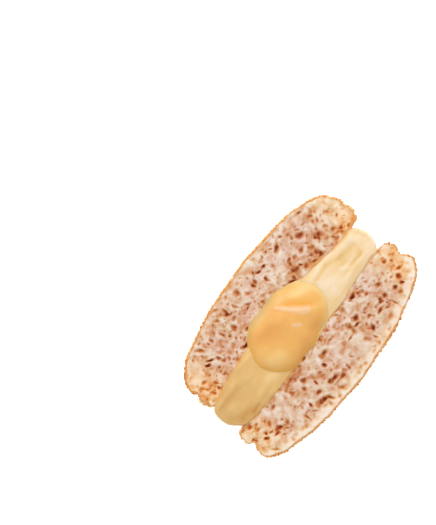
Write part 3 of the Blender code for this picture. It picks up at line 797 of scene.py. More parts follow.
# %% The two sponge faces
def make_sponge(name, shell):
    """The cut foam of one shell. It sinks into its holes, and its edge dives into the crust's lip. It keeps
    for its material the slow clouds of the foam, and a tone, which is a sum: darker by holes, partly as
    painted shade in them, and by stains, paler by walls and near the dome. gold grows towards the ends and
    the dome, and where the filling seeped in, and baked is the brown seam at the crust and the crumb that
    the filling wetted."""
    x, h, from_end, from_dome, from_dish = face_grid(shell)
    seed = shell["seed"] * 7
    pushed_x, pushed_h = x + 0.5 * noise(x, h, 7.0, 1.8, seed), h + 0.5 * noise(x, h, 8.0, 1.8, seed)
    stain = summed(pushed_x, pushed_h, STAINS[shell["side"]], 5)
    dark, pale = sponge_holes(x, h, shell, from_dish / (from_dish + from_dome), stain)
    outer = np.minimum(from_dome, from_end)
    dark = dark * ease(0.1, 0.7, np.minimum(from_end * 0.6, from_dome))
    foam = rough(x, h, 0.0, 1.0, seed, 2)
    cloud = rough(x, h, 3.0, 3.0, seed + 4, 2)
    relief = (0.05 * foam + 0.08 * cloud - 0.05 * pale) * ease(0.0, 0.9, outer) + HOLE_DEPTH * dark**1.2
    # At the crust the face starts 0.07 mm low, rises to 0.13 mm high, and settles at 0.05 mm high.
    seam = 0.2 * (1.0 - ease(0.0, 0.16, outer)) + 0.08 * ease(0.1, 0.9, outer) - 0.13
    depth = 0.03 + (cut_drop(x, h) + relief + seam - 0.03) * ease(-0.1, 0.7, from_dish)
    piece = slab(name, placed(x, h, depth), SLAB)
    rim_pale = shell["pale_rim"] * ease(1.9 + 0.8 * cloud, 0.3, from_dome)
    # Holes darken the tone: partly the browner crumb at their bottoms, partly painted shade in them.
    tone = 0.345 + 0.2 * foam + 0.03 * cloud - 0.18 * pale + 0.72 * dark + 0.45 * stain - 0.23 * rim_pale
    ends = ease(8.5, 1.5, from_end) * (0.85 + 0.3 * cloud)
    ends = np.maximum(ends, 0.55 * shell["pale_rim"] * ease(2.8, 0.6, from_dome) * (0.9 + 0.3 * cloud))
    soaked = 0.8 * ease(1.3, 0.1, from_dish) * ease(-0.3, 0.6, cloud)
    baked = ease(0.4 + 0.15 * cloud, 0.05, outer) * ease(-1.0, 0.2, foam)
    wet = along_cut(x, shell["wet"]) * ease(1.3 + 0.5 * foam, 0.4, from_dish)
    baked = np.maximum(baked, wet * ease(-0.9, 0.4, cloud))
    spare = len(piece.data.vertices) - x.size
    kept = {"tone": tone, "cloud": 0.5 + 0.35 * cloud, "baked": baked, "gold": np.maximum(ends, soaked)}
    for key, values in kept.items():
        mark(piece, key, np.pad(np.clip(values, 0.0, 1.0).ravel(), (0, spare)))
    return piece


upper_sponge = make_sponge("upper_sponge", UPPER)
lower_sponge = make_sponge("lower_sponge", LOWER)

# %% [markdown]
# ## The buttercream
#
# Buttercream is smooth, soft and a little shiny. The knife dragged it along the cut, which left long
# ridges and creases, and pushed it out at the ends into round lips. Its outside is a turned bulge between
# the shells. The cut surface is again a grid between four curves, and its edge is the half turn's edge,
# which dips a tenth of a millimetre under the crumb, so that no gap shows between the two.

# %% The knife's strokes and the bulge
CREAM_OFFSET = -0.6
CREAM_RADIUS = 22.9
CREAM_SHOULDER = 20.6
CREAM_LENGTH = 44.0
CREAM_THICKNESS = 8.5
CREAM_SMEAR = 0.28
CREAM_TUCK = 0.1
EDGE_OCHRE_LINE = 0.2
EDGE_OCHRE_WIDTH = 0.38
EDGE_OCHRE_END = 21.2
CREAM_WAVES = [(4, 0.3, 0.5), (7, 0.2, 2.0), (11, 0.15, 0.0)]
CREAM_HALF_COLUMNS = 150
CREAM_ROWS = 60

# The knife's strokes: start x and h, end x and h, width, rise in millimetres, and how much paler or darker.
STROKES = [
    (9.0, 2.4, 12.5, 2.6, 0.45, -0.03, -0.14), (12.5, 2.5, 16.5, 1.4, 0.5, -0.04, -0.14),
    (15.8, 0.9, 18.2, 0.9, 0.7, -0.08, -0.2), (14.4, 0.4, 16.0, -0.1, 0.35, -0.03, -0.12),
    (16.0, -1.35, 18.4, -1.5, 0.3, -0.05, -0.2), (18.3, -1.3, 18.9, 0.8, 0.4, -0.02, -0.1),
    (12.0, 0.0, 14.3, -0.3, 0.55, 0.05, 0.08), (14.3, -0.3, 15.8, -1.6, 0.5, 0.05, 0.1),
    (15.2, -0.5, 17.2, -0.5, 0.3, 0.0, 0.1), (8.8, -0.4, 12.0, -1.5, 1.1, 0.12, 0.08),
    (13.5, -2.3, 20.0, -2.4, 0.45, 0.1, 0.06), (19.6, 1.9, 20.6, 0.4, 0.7, 0.06, 0.08),
    (19.4, -1.2, 20.4, -1.3, 0.5, 0.05, 0.08), (9.0, 1.9, 9.2, 0.4, 0.35, 0.02, 0.1),
    (20.5, 0.2, 21.6, 0.1, 0.4, -0.02, -0.08), (8.3, 3.6, 14.0, 3.1, 0.45, 0.06, 0.05),
    (-21.4, 2.3, -20.3, 2.4, 0.5, 0.1, 0.14), (-17.4, 2.8, -16.2, 2.8, 0.5, 0.08, 0.14),
    (-13.2, 4.2, -10.8, 3.7, 0.7, 0.12, 0.12), (-15.6, 2.3, -14.2, 1.9, 0.6, 0.06, 0.08),
    (-21.5, 1.8, -16.8, 1.5, 0.55, -0.1, -0.12), (-22.3, 0.4, -20.3, 0.0, 1.0, 0.06, 0.1),
    (-20.4, -2.8, -18.0, -2.9, 1.0, -0.08, -0.16), (-18.2, -3.5, -16.2, -3.2, 0.45, -0.04, -0.18),
    (-14.6, -2.0, -13.6, -2.2, 0.7, 0.08, 0.1), (-11.4, -2.0, -10.4, -2.5, 0.9, 0.12, 0.18),
    (-19.0, -1.0, -17.6, -1.3, 0.6, 0.05, 0.06),
]
# The bulge of its ends at the cut: height, and how far it stands out at the right and at the left.
CREAM_ENDS = [
    (-3.7, -0.3, -0.2), (-2.9, -0.4, -0.45), (-2.4, -0.2, -0.3), (-1.2, 0.0, 0.1), (0.2, 0.05, 0.2),
    (1.5, 0.0, 0.3), (2.3, 0.05, 0.45), (3.0, 0.0, 0.45),
]
# Its shade along the cut: x, and from 0 for ochre to 1 for nearly white: partly the cream's own colour, and
# partly painted shade on the left and painted light on the right, towards the lamp.
CREAM_TONE_AND_PAINTED_LIGHT = [
    (-24, 0.28), (-18, 0.32), (-14, 0.38), (-10, 0.5), (7, 0.8),
    (10, 0.88), (16, 0.8), (19, 0.84), (22, 0.9),
]


def cream_profile():
    """Radius and height from the middle of the top, round the bulge, to the middle of the underside."""
    r = np.linspace(0.0, CREAM_SHOULDER, CREAM_HALF_COLUMNS)
    high, low = face_height(r + 1.0, UPPER) + 0.05, -face_height(r + 1.0, LOWER) - 0.05
    middle, half = (high[-1] + low[-1]) / 2, (high[-1] - low[-1]) / 2
    turn = np.linspace(math.pi / 2, -math.pi / 2, CREAM_ROWS)[1:-1]
    bulge = CREAM_SHOULDER + (CREAM_RADIUS - CREAM_SHOULDER) * np.cos(turn) ** 0.8
    arc = np.stack([bulge, middle + half * np.sin(turn)], axis=1)
    return np.concatenate([np.stack([r, high], axis=1), arc, np.stack([r, low], axis=1)[::-1]])


def cream_points(r, height, turn):
    """The half turn, a little wavy and lumpy round its outer edge. At the cut the knife smeared its long
    edges out to the line of the shells and tucked them in under the crumb, and rounded its two ends."""
    x, y = r * np.cos(turn), r * np.sin(turn)
    edge = np.clip((r - 15.0) / 7.0, 0.0, 1.0)
    ends = at_ends(CREAM_ENDS, height, turn)
    swell = edge * (waves(turn, CREAM_WAVES, 0.0) + 0.12 * noise(x, y, height, 3.0, 61) + ends)
    rounded = 0.35 * ease(CREAM_SHOULDER, CREAM_RADIUS, r) * np.exp(-((y / 0.6) ** 2))
    stretch = 1.0 + (swell - rounded) / np.maximum(r, 1.0)
    x = x * stretch + CREAM_OFFSET
    smeared = np.where(height > 0, edge_shift(x, UPPER), edge_shift(x, LOWER)) + CREAM_SMEAR
    smeared = smeared + 0.14 * rough(x, 0.0, height * 9.0, 1.9, 63, 2)
    between = (1.0 - ease(19.8, CREAM_SHOULDER, r)) * np.exp(-((y / 0.5) ** 2))
    return x, height + np.sign(height) * smeared * between, y * stretch + CREAM_TUCK * between


# %% The dragged face and the closed piece
def bent(x, h):
    """Places pushed about by slow noise, so that straight strokes come out curved."""
    return x + 0.7 * noise(x, h, 0.0, 3.0, 78), h + 0.4 * noise(x, h, 4.0, 2.6, 79)


def smears(x, h):
    """Long soft streaks: noise four times longer along the cut than across."""
    return rough(x / 4.0, h, 0.0, 0.8, 71, 3)


def cream_rise(x, h, inside):
    """How far the dragged cream stands proud of the cut: a broad pillow with a short steep edge, the knife's
    strokes, and fine streaks."""
    x, h = bent(x, h)
    pillow = 0.42 * ease(0.0, 2.6, inside) + 0.2 * ease(0.0, 0.25, inside)
    streaks = 0.035 * smears(x, h) + 0.08 * noise(x, h, 0.0, 4.0, 75)
    return pillow + (summed(x, h, STROKES, 5) + streaks) * ease(0.0, 1.2, inside)


def make_cream(name):
    """The dragged cut face over the half turn of the bulge, merged into one closed piece. Its shade goes
    from ochre on the left to pale on the right, partly its own colour and partly painted shade and painted
    light, and a darker ochre marks its edges, partly coloured by the crumb and partly painted shade where
    the two meet."""
    profile = cream_profile()
    body = half_turn(profile, cream_points)
    rim = rim_of(body)
    first, second = CREAM_HALF_COLUMNS - 1, CREAM_HALF_COLUMNS + CREAM_ROWS - 2
    top, right, bottom, left = four_sides(rim, first, second, len(profile))
    face = stretched_grid(bottom, top, left[::-1], right[::-1])
    x, h = face[..., 0] - AXIS[0], face[..., 1] - AXIS[1]
    u, v = np.linspace(0.0, 1.0, x.shape[1])[None, :], np.linspace(0.0, 1.0, x.shape[0])[:, None]
    inside = np.minimum(np.minimum(u, 1 - u) * CREAM_LENGTH, np.minimum(v, 1 - v) * CREAM_THICKNESS)
    face[..., 2] += np.where(inside > 0.0, cream_rise(x, h, inside), 0.0)
    piece = stitched(name, [(body, grid_faces(*body.shape[:2])), (face, grid_faces(*face.shape[:2]))])
    x, h, _ = places_of(piece)
    bent_x, bent_h = bent(x, h)
    streaks = smears(bent_x, bent_h) * (0.05 + 0.05 * ease(4.0, 10.0, x))
    # Along the cut the shade is partly the cream's own colour, partly painted shade on the left and painted
    # light on the right.
    shade = along_cut(x, CREAM_TONE_AND_PAINTED_LIGHT) + summed(bent_x, bent_h, STROKES, 6) + streaks
    mark(piece, "shade", np.clip(shade + 0.04 * rough(x, h, 0.0, 2.2, 66, 2), 0.0, 1.0))
    # A darker ochre along the edges where the cream meets the crumb, partly painted shade there.
    across = np.abs(x)
    gaps = [
        face_height(across, shell) + edge_shift(x, shell) + EDGE_OCHRE_LINE - shell["side"] * h
        for shell in (UPPER, LOWER)
    ]
    ragged = 0.75 + 0.6 * noise(x, h, 0.0, 1.6, 69)
    soaked = sum(np.exp(-((gap / (EDGE_OCHRE_WIDTH * ragged)) ** 2)) for gap in np.abs(gaps)) * (across < EDGE_OCHRE_END)
    mark(piece, "soaked", np.clip(soaked * ragged, 0.0, 1.0))
    return piece


cream = make_cream("dragged_buttercream")

# %% [markdown]
# ## The lemon curd
#
# The curd is softer than the buttercream, so it wells out over the cut as one round dollop, with a fold
# where it slid back on itself. It is one closed surface of rings: from the top of the dollop out to its
# rim, in under the rim, and down round the heart that lies between the shells.
# Its outline is drawn with a few measured distances from a centre, joined by a sum of sines and cosines.

# %% The curd's outline and fold
CURD_CENTRE = (-1.0, 1.3)
CURD_RADII = [
    (175, 10.05), (164, 9.5), (153, 8.74), (143, 8.3), (133, 7.9), (125, 7.4), (107, 6.42), (85, 6.17),
    (64, 6.7), (51, 7.3), (39, 7.9), (29, 8.6), (21, 9.4), (12, 10.2), (2, 10.7), (-5, 10.7), (-14, 10.3),
    (-22, 9.8), (-31, 9.1), (-40, 8.2), (-53, 6.95), (-69, 6.3), (-90, 6.35), (-111, 6.5), (-128, 7.65),
    (-139, 8.85), (-146, 9.4), (-154, 9.7), (-164, 10.1), (-174, 10.3),
]
CURD_HARMONICS = 8
CURD_REACH = 9.0
CURD_HEIGHT = 2.95
CURD_TILT = 0.012
CURD_SUNK = 0.2
CURD_TUCK = 0.97
# The heart's half length, half width and where it is cut level, and how deep it begins.
HEART = (7.6, 5.6, 4.5)
HEART_TOP = 0.6
HEART_RINGS = 24
FOLD_LIP = 0.16
FOLD_DROP = 0.75
FOLD_LINE = [(0.2, 5.4), (1.0, 4.1), (2.0, 2.5), (2.8, 1.3), (3.7, 0.4)]
FOLD_START = (0.5, 5.4)
FOLD_END = (4.6, 0.0)
CURD_RINGS = 90
CURD_STEPS = 260

# Places of the curd that are paler or deeper: start x and h, end x and h, width, rise, and shade. The
# fourth, a darker band low down, is painted shade, and the fifth, the paler lobe on the right, is painted
# light.
CURD_STROKES = [
    (-5.0, 3.3, -2.5, 1.6, 2.2, -0.25, -0.11), (-6.2, 4.2, -3.8, 3.8, 1.0, 0.0, -0.14),
    (-8.2, -0.2, -6.8, -0.9, 1.8, 0.08, 0.32), (-2.0, -3.2, 3.2, -2.9, 1.2, -0.05, -0.16),
    (4.2, 4.2, 7.2, 2.6, 1.1, 0.1, 0.2), (7.9, 1.4, 8.2, -1.2, 0.8, 0.0, 0.16),
    (5.2, -0.6, 7.0, -1.4, 1.2, 0.0, 0.12),
]
# Small gleams where the surface catches the light, in the same order.
GLEAMS = [
    (-0.4, 0.6, 0.5, -0.35, 0.42, 0.07, 1.0), (-4.6, 6.4, -1.4, 5.95, 0.26, 0.03, 0.45),
    (-1.3, 1.8, -0.8, 1.8, 0.28, 0.02, 0.4), (-7.35, 2.4, -7.0, 2.0, 0.3, 0.03, 0.4),
    (-6.6, 0.2, -6.2, 0.2, 0.4, 0.02, 0.3), (-4.7, 0.4, -4.5, 0.3, 0.3, 0.02, 0.35),
    (-0.1, 2.2, 0.2, 1.6, 0.35, 0.02, 0.3), (1.6, 5.4, 2.2, 5.3, 0.3, 0.02, 0.3),
    (2.7, 0.9, 3.7, 0.2, 0.55, 0.03, 0.5), (0.9, 4.2, 2.0, 2.5, 0.4, 0.0, 0.35),
    (1.9, 2.6, 3.1, 1.1, 0.55, 0.0, 0.45),
]
# The deep orange beside the fold: painted shade on the slope that turns away from the light.
CREASE_SHADE = [
    (2.0, 3.9, 4.5, 0.5, 0.42, 0.0, 1.0), (3.0, 3.0, 5.6, 0.4, 1.3, 0.0, 0.5),
    (1.3, 4.8, 2.4, 3.4, 0.3, 0.0, 0.6),
]


def closed_outline(radii, turn):
    """Distance from the centre for each turn: the sum of a constant, sines and cosines that fits best."""
    angle = np.radians([a for a, _ in radii])

    def terms(t):
        return np.stack([f(n * t) for n in range(CURD_HARMONICS + 1) for f in (np.cos, np.sin)], axis=-1)

    fit = np.linalg.lstsq(terms(angle), np.array([r for _, r in radii]), rcond=None)[0]
    return terms(turn) @ fit


def fold_lip(x, h):
    """The raised lip of the fold, widest where it ends."""
    pieces = [(*a, *b, 0.48 + 0.1 * n) for n, (a, b) in enumerate(zip(FOLD_LINE, FOLD_LINE[1:]))]
    return np.max([beside(x, h, piece) for piece in pieces], axis=0)


def fold_step(x, h):
    """The step down across the fold's line, with a slow climb back beyond it to its right."""
    run = np.array(FOLD_END) - np.array(FOLD_START)
    length = np.hypot(*run)
    dx, dh = x - FOLD_START[0], h - FOLD_START[1]
    along, beyond = (dx * run[0] + dh * run[1]) / length**2, (dh * run[0] - dx * run[1]) / length
    beyond = beyond + 0.3 * np.sin(2.6 * along)
    present = ease(-0.2, 0.35, along) * (1.0 - ease(0.75, 1.3, along))
    return ease(-0.25, 0.4, beyond) * np.exp(-np.maximum(beyond - 0.4, 0.0) / 2.2) * present


def dollop_height(share, turn):
    """From 1 on top to 0 at the rim: a power of 1 - r², which is 0.58 at the left, so steep, and 0.9 at the
    right, so soft. The factor 1 - r¹⁴ makes it run down to the cream."""
    right = ease(0.1, 0.95, np.cos(turn + 0.2))
    return np.maximum(1.0 - share**2, 0.0) ** (0.58 + 0.32 * right) * (1.0 - share**14)


# %% The curd's rings and the closed piece
def curd_rings():
    """x, h and depth of the curd's rings: the dollop's top, then its rim, which dips into the cream, and
    last the heart, a flattened ball cut level where it meets the shells."""
    turn = np.linspace(0.0, math.tau, CURD_STEPS, endpoint=False)[None, :]
    out = closed_outline(CURD_RADII, turn)
    share = np.sin(np.linspace(0.0, math.pi / 2, CURD_RINGS))[:, None]
    x, h = CURD_CENTRE[0] + out * share * np.cos(turn), CURD_CENTRE[1] + out * share * np.sin(turn)
    height = CURD_HEIGHT * dollop_height(share, turn)
    top = ease(0.2, 0.8, height / CURD_HEIGHT)
    lumps = 0.12 * noise(x, h, 0.0, 3.6, 81) + 0.04 * noise(x, h, 0.0, 1.5, 82)
    lumps = lumps + summed(x, h, CURD_STROKES + GLEAMS, 5)
    fold = FOLD_LIP * fold_lip(x, h) - FOLD_DROP * fold_step(x, h)
    rise = (height + (fold + lumps) * top) * (1.0 - CURD_TILT * (x - CURD_CENTRE[0]))
    rim = [
        np.concatenate([values, middle + (values[-1:] - middle) * CURD_TUCK])
        for values, middle in zip((x, h), CURD_CENTRE)
    ]
    depth = np.concatenate([-rise, np.full((1, CURD_STEPS), CURD_SUNK)])
    down = np.linspace(0.0, math.pi / 2, HEART_RINGS)[:, None]
    long, wide, level = HEART
    heart_x = CURD_CENTRE[0] + long * np.cos(down) * np.cos(turn)
    heart_h = np.clip(wide * np.cos(down) * np.sin(turn), -level, level)
    heart_depth = HEART_TOP + (long - HEART_TOP) * np.sin(down) + 0 * turn
    return [np.concatenate(pair) for pair in ((rim[0], heart_x), (rim[1], heart_h), (depth, heart_depth))]


def make_curd(name):
    """One closed piece from the rings, marked for its material: the shade, with some painted light and
    painted shade in it, the deep orange painted shade beside the fold, the gleams, the thin upper edge and
    the orange rim at the left."""
    rings = curd_rings()
    piece = stitched(name, [(placed(*rings), grid_faces(len(rings[0]), CURD_STEPS, around=True))])
    x, h, _ = places_of(piece)
    dx, dh = x - CURD_CENTRE[0], h - CURD_CENTRE[1]
    angle = np.arctan2(dh, dx)
    from_rim = (1.0 - np.hypot(dx, dh) / closed_outline(CURD_RADII, angle)) * CURD_REACH
    right, above = ease(0.2, 0.8, np.cos(angle)), ease(0.1, 0.7, np.sin(angle))
    # Among the strokes are painted shade on the lower slope and painted light on the right lobe.
    shade = 0.5 + summed(x, h, CURD_STROKES, 6) + 0.06 * rough(x, h, 0.0, 2.4, 84, 3)
    shade = shade + 0.3 * ease(2.6, 0.2, from_rim) * right * (1.0 - 0.5 * above)
    mark(piece, "shade", np.clip(shade, 0.0, 1.0))
    # Painted shade: deep orange on the slope beside the fold, where it turns away from the light.
    mark(piece, "crease_shade", np.clip(summed(x, h, CREASE_SHADE, 6) * (1.0 - fold_lip(x, h)), 0.0, 1.0))
    mark(piece, "gleam", np.clip(0.8 * fold_lip(x, h) + summed(x, h, GLEAMS, 6), 0.0, 1.0))
    thin = above * ease(3.3, 0.8, from_rim) * ease(-0.9, -0.5, np.cos(angle))
    mark(piece, "thin", thin * ease(0.65, 0.2, np.cos(angle)))
    mark(piece, "rim", ease(1.4, 0.5, from_rim) * (1.0 - right) * (1.0 - above))
    return piece


curd = make_curd("welled_curd")
print("the dollop stands", round(float(-places_of(curd)[2].min()), 2), "mm proud of the cut")

# %% [markdown]
# ## Toasted crumbs
#
# The outside of the macaron was rolled in crumbs: brown and golden grains under a millimetre, a finer pale
# dust, and here and there a sliver of almond. They are thrown on at random by area, with the grains a
# little clumped, so the crust's own faces are drawn with a chance in proportion to their size. A grain is a
# twenty-sided ball with its corners moved about, which costs 20 faces. All grains of one kind are computed
# at once and kept as a mesh.

# %% Throwing grains on the crust
def crust_faces(piece, shell, foot_share):
    """Middles, outward directions and weights of the faces that carry crumbs, from the crust's own mesh.
    The dome counts fully, the foot by a share, and the dish, the tray and the lip not at all."""
    mesh = piece.data
    count = len(mesh.polygons)
    middle, out, area = np.empty(count * 3), np.empty(count * 3), np.empty(count)
    mesh.polygons.foreach_get("center", middle)
    mesh.polygons.foreach_get("normal", out)
    mesh.polygons.foreach_get("area", area)
    middle, out = middle.reshape(-1, 3) / MM, out.reshape(-1, 3)
    height = (middle[:, 1] - AXIS[1]) * shell["side"]
    reach = np.hypot(middle[:, 0] - AXIS[0], CUT - middle[:, 2])
    outside = (reach > RADIUS - 2.2) | (height > shell["equator"])
    below_cut = ease(0.1, 0.7, CUT - middle[:, 2]) * (out[:, 2] < 0.75)
    weight = area * outside * below_cut * (middle[:, 2] > 0.25) * (height > shell["foot"] + 0.3)
    on_dome = ease(shell["equator"] - 3.2, shell["equator"] - 1.2, height)
    return middle, out, weight * (foot_share + (1 - foot_share) * on_dome)


def thrown(sources, count, clump, draw):
    """Places and outward directions of a number of grains, more of them where a slow noise is high."""
    middle = np.concatenate([m for m, _, _ in sources])
    out = np.concatenate([o for _, o, _ in sources])
    weight = np.concatenate([w for _, _, w in sources])
    weight = weight * (1.0 - clump + clump * ease(-0.5, 0.5, noise(*middle.T, 3.0, 91)))
    chosen = draw.choice(len(middle), size=count, p=weight / weight.sum())
    place = middle[chosen] + draw.uniform(-0.17, 0.17, (count, 3))
    return place, out[chosen]


def unit_ball():
    """The corners and faces of a twenty-sided ball of diameter 1."""
    form = bmesh.new()
    bmesh.ops.create_icosphere(form, subdivisions=1, radius=0.5)
    corners = np.array([v.co[:] for v in form.verts])
    faces = np.array([[v.index for v in f.verts] for f in form.faces])
    form.free()
    return corners, faces


def grains(name, place, out, sizes, sunk, ragged, draw):
    """One mesh of many grains. Each is a unit ball with ragged corners, stretched by its three sizes, spun
    at random about its outward direction, and set with a share of its thickness in the crust."""
    corners, faces = unit_ball()
    count = len(place)
    side = np.cross(out, draw.normal(size=(count, 3)))
    side /= np.linalg.norm(side, axis=1, keepdims=True)
    other = np.cross(out, side)
    swell = draw.uniform(1 - ragged, 1 + ragged, (count, len(corners), 1))
    shape = corners[None] * swell * sizes[:, None, :]
    centre = place + out * sizes[:, 2:] * (0.5 - sunk)
    points = centre[:, None] + np.einsum("nck,nkj->ncj", shape, np.stack([side, other, out], axis=1))
    points[..., 2] = np.maximum(points[..., 2], 0.02)
    everyone = (faces[None] + (np.arange(count) * len(corners))[:, None, None]).reshape(-1, 3)
    piece = close_up(new_piece(name, points.reshape(-1, 3), everyone.tolist()))
    mark(piece, "tone", np.repeat(draw.uniform(0.0, 1.0, count), len(corners)))
    return piece


# %% Brown grains, golden grains, pale dust and almond slivers
draw = np.random.default_rng(20)
FOOT_SHARE = 0.45
rough_skin = [crust_faces(upper_crust, UPPER, FOOT_SHARE), crust_faces(lower_crust, LOWER, FOOT_SHARE)]
BROWN, GOLDEN, DUST, SLIVERS = 8600, 9900, 9900, 420
SLIVER_THICKNESS = 0.11


def grain_lengths(count, draw):
    """Lengths from 0.28 to 0.78 mm, most of them short: 0.28 and half a draw from a lopsided bell curve."""
    return 0.28 + 0.5 * draw.beta(1.5, 3.2, count)


def grain_sizes(long, wide, thick, draw):
    """Length, width and thickness of each grain, the last two as random shares of its length."""
    shares = [draw.uniform(*limits, len(long)) for limits in (wide, thick)]
    return np.stack([long, long * shares[0], long * shares[1]], axis=1)


sizes = grain_sizes(grain_lengths(BROWN, draw), (0.6, 0.95), (0.45, 0.75), draw)
places = thrown(rough_skin, BROWN, clump=0.5, draw=draw)
brown_grains = grains("brown_crumbs", *places, sizes, sunk=0.5, ragged=0.28, draw=draw)

sizes = grain_sizes(grain_lengths(GOLDEN, draw), (0.6, 0.95), (0.45, 0.7), draw)
places = thrown(rough_skin, GOLDEN, clump=0.25, draw=draw)
golden_grains = grains("golden_crumbs", *places, sizes, sunk=0.5, ragged=0.25, draw=draw)

sizes = grain_sizes(draw.uniform(0.2, 0.38, DUST), (0.7, 1.0), (0.5, 0.8), draw)
places = thrown(rough_skin, DUST, clump=0.0, draw=draw)
dust = grains("pale_crumbs", *places, sizes, sunk=0.45, ragged=0.25, draw=draw)

long, wide = draw.uniform(0.7, 1.5, SLIVERS), draw.uniform(0.14, 0.24, SLIVERS)
sizes = np.stack([long, wide, np.full(SLIVERS, SLIVER_THICKNESS)], axis=1)
places = thrown(rough_skin, SLIVERS, clump=0.0, draw=draw)
slivers = grains("almond_slivers", *places, sizes, sunk=0.1, ragged=0.15, draw=draw)

# %% [markdown]
# ## Finishes
#
# The crust is dry and matt, golden brown with paler patches. The sponge is pinkish beige, its holes run
# down to red brown, partly as painted shade, and it turns golden towards the ends, where the heat came in.
# Buttercream and curd let light in a little way, which is what makes them look soft, so both scatter light
# under the surface.
# The numbers kept on the mesh tell each material where things are: how deep a point lies in its hole,
# where the filling seeped in, and where the curd has its fold, the painted shade beside it and its gleams.

# %% The crust and the crumbs
crust_finish, tree, shader = new_finish("baked_crust", 0.78, Specular_IOR_Level=0.3, Subsurface_Weight=0.1)
shader.inputs["Subsurface Scale"].default_value = 0.0006
place = object_place(tree)
patches = speckle(tree, place, 1.7)
grain = speckle(tree, place, 0.45, 4.0)
skin = steps(tree, patches, [(0.3, 216, 146, 72), (0.5, 235, 180, 104), (0.66, 249, 226, 192)])
freckles = ranged(tree, grain, 0.56, 0.68)
skin = mixed(tree, freckles, skin, seen(206, 134, 68))
skin = glazed(tree, skin, "lip", 0.6, (212, 146, 80))
tree.links.new(skin, shader.inputs["Base Color"])
bumped(tree, shader, grain, 0.12, 0.7)

brown_finish, tree, shader = new_finish("toasted_brown", 0.75, Specular_IOR_Level=0.3)
stops = [(0.0, 190, 106, 46), (0.4, 216, 134, 60), (1.0, 232, 164, 88)]
colour = steps(tree, attribute(tree, "tone"), stops)
colour = mixed(tree, speckle(tree, object_place(tree), 0.25), colour, seen(220, 158, 96), "SOFT_LIGHT")
tree.links.new(colour, shader.inputs["Base Color"])

golden_finish, tree, shader = new_finish("toasted_gold", 0.72, Specular_IOR_Level=0.3)
stops = [(0.0, 224, 152, 72), (0.6, 240, 186, 108), (1.0, 251, 227, 190)]
colour = steps(tree, attribute(tree, "tone"), stops)
colour = mixed(tree, speckle(tree, object_place(tree), 0.25), colour, seen(236, 186, 118), "SOFT_LIGHT")
tree.links.new(colour, shader.inputs["Base Color"])

sliver_finish, tree, shader = new_finish("pale_almond", 0.6, Specular_IOR_Level=0.4)
colour = steps(tree, attribute(tree, "tone"), [(0.0, 238, 192, 128), (1.0, 250, 234, 206)])
colour = mixed(tree, speckle(tree, object_place(tree), 0.3), colour, seen(248, 224, 186))
tree.links.new(colour, shader.inputs["Base Color"])

# %% The sponge
sponge_finish, tree, shader = new_finish("cut_sponge", 0.82, Specular_IOR_Level=0.25, Subsurface_Weight=0.1)
shader.inputs["Subsurface Scale"].default_value = 0.0005
tone, cloud, gold = (attribute(tree, name) for name in ("tone", "cloud", "gold"))
# High tones are the bottoms of holes: browner crumb, and darker still as painted shade.
beige = [
    (0.0, 238, 227, 219), (0.2, 229, 208, 193), (0.35, 219, 184, 160), (0.48, 209, 157, 121),
    (0.62, 196, 126, 78), (0.8, 164, 84, 44), (1.0, 126, 46, 20),
]
toasted = [
    (0.0, 249, 236, 221), (0.2, 247, 220, 184), (0.35, 241, 200, 149), (0.48, 232, 174, 110),
    (0.62, 212, 134, 66), (0.8, 186, 88, 26), (1.0, 156, 60, 14),
]
flesh = mixed(tree, gold, steps(tree, tone, beige), steps(tree, tone, toasted))
tint = steps(tree, cloud, [(0.2, 255, 252, 240), (0.8, 254, 245, 240)])
flesh = mixed(tree, 1.0, flesh, tint, "MULTIPLY")
flesh = glazed(tree, flesh, "baked", 0.85, (216, 153, 86))
tree.links.new(flesh, shader.inputs["Base Color"])
bumped(tree, shader, speckle(tree, object_place(tree), 0.4), 0.08, 0.5)

# %% The buttercream and the curd
cream_finish, tree, shader = new_finish("buttercream", 0.45, Specular_IOR_Level=0.35, Subsurface_Weight=0.25)
shader.inputs["Subsurface Scale"].default_value = 0.001
shader.inputs["Subsurface Radius"].default_value = (1.0, 0.8, 0.5)
shades = [
    (0.0, 206, 146, 70), (0.3, 218, 176, 110), (0.5, 229, 188, 120),
    (0.75, 240, 206, 150), (1.0, 245, 221, 187),
]
colour = steps(tree, attribute(tree, "shade"), shades)
# A darker ochre along the edges beside the crumb, partly painted shade where the two meet.
colour = glazed(tree, colour, "soaked", 0.6, (228, 162, 86))
tree.links.new(colour, shader.inputs["Base Color"])
bumped(tree, shader, speckle(tree, object_place(tree, (0.2, 1.0, 1.0)), 0.9), 0.05, 0.4)

curd_finish, tree, shader = new_finish("lemon_curd", 0.36, Specular_IOR_Level=0.4, Subsurface_Weight=0.4)
shader.inputs["Subsurface Scale"].default_value = 0.0018
shader.inputs["Subsurface Radius"].default_value = (1.0, 0.7, 0.35)
shades = [
    (0.0, 222, 154, 76), (0.3, 232, 168, 88), (0.5, 239, 182, 99),
    (0.75, 245, 200, 124), (1.0, 250, 217, 162),
]
colour = steps(tree, attribute(tree, "shade"), shades)
# Painted shade in deep orange beside the fold.
colour = glazed(tree, colour, "crease_shade", 0.85, (245, 174, 66))
colour = glazed(tree, colour, "rim", 0.85, (253, 186, 88))
colour = glazed(tree, colour, "gleam", 0.8, (240, 199, 158))
colour = glazed(tree, colour, "thin", 0.8, (225, 188, 122))
tree.links.new(colour, shader.inputs["Base Color"])
bumped(tree, shader, speckle(tree, object_place(tree), 1.2), 0.04, 0.4)

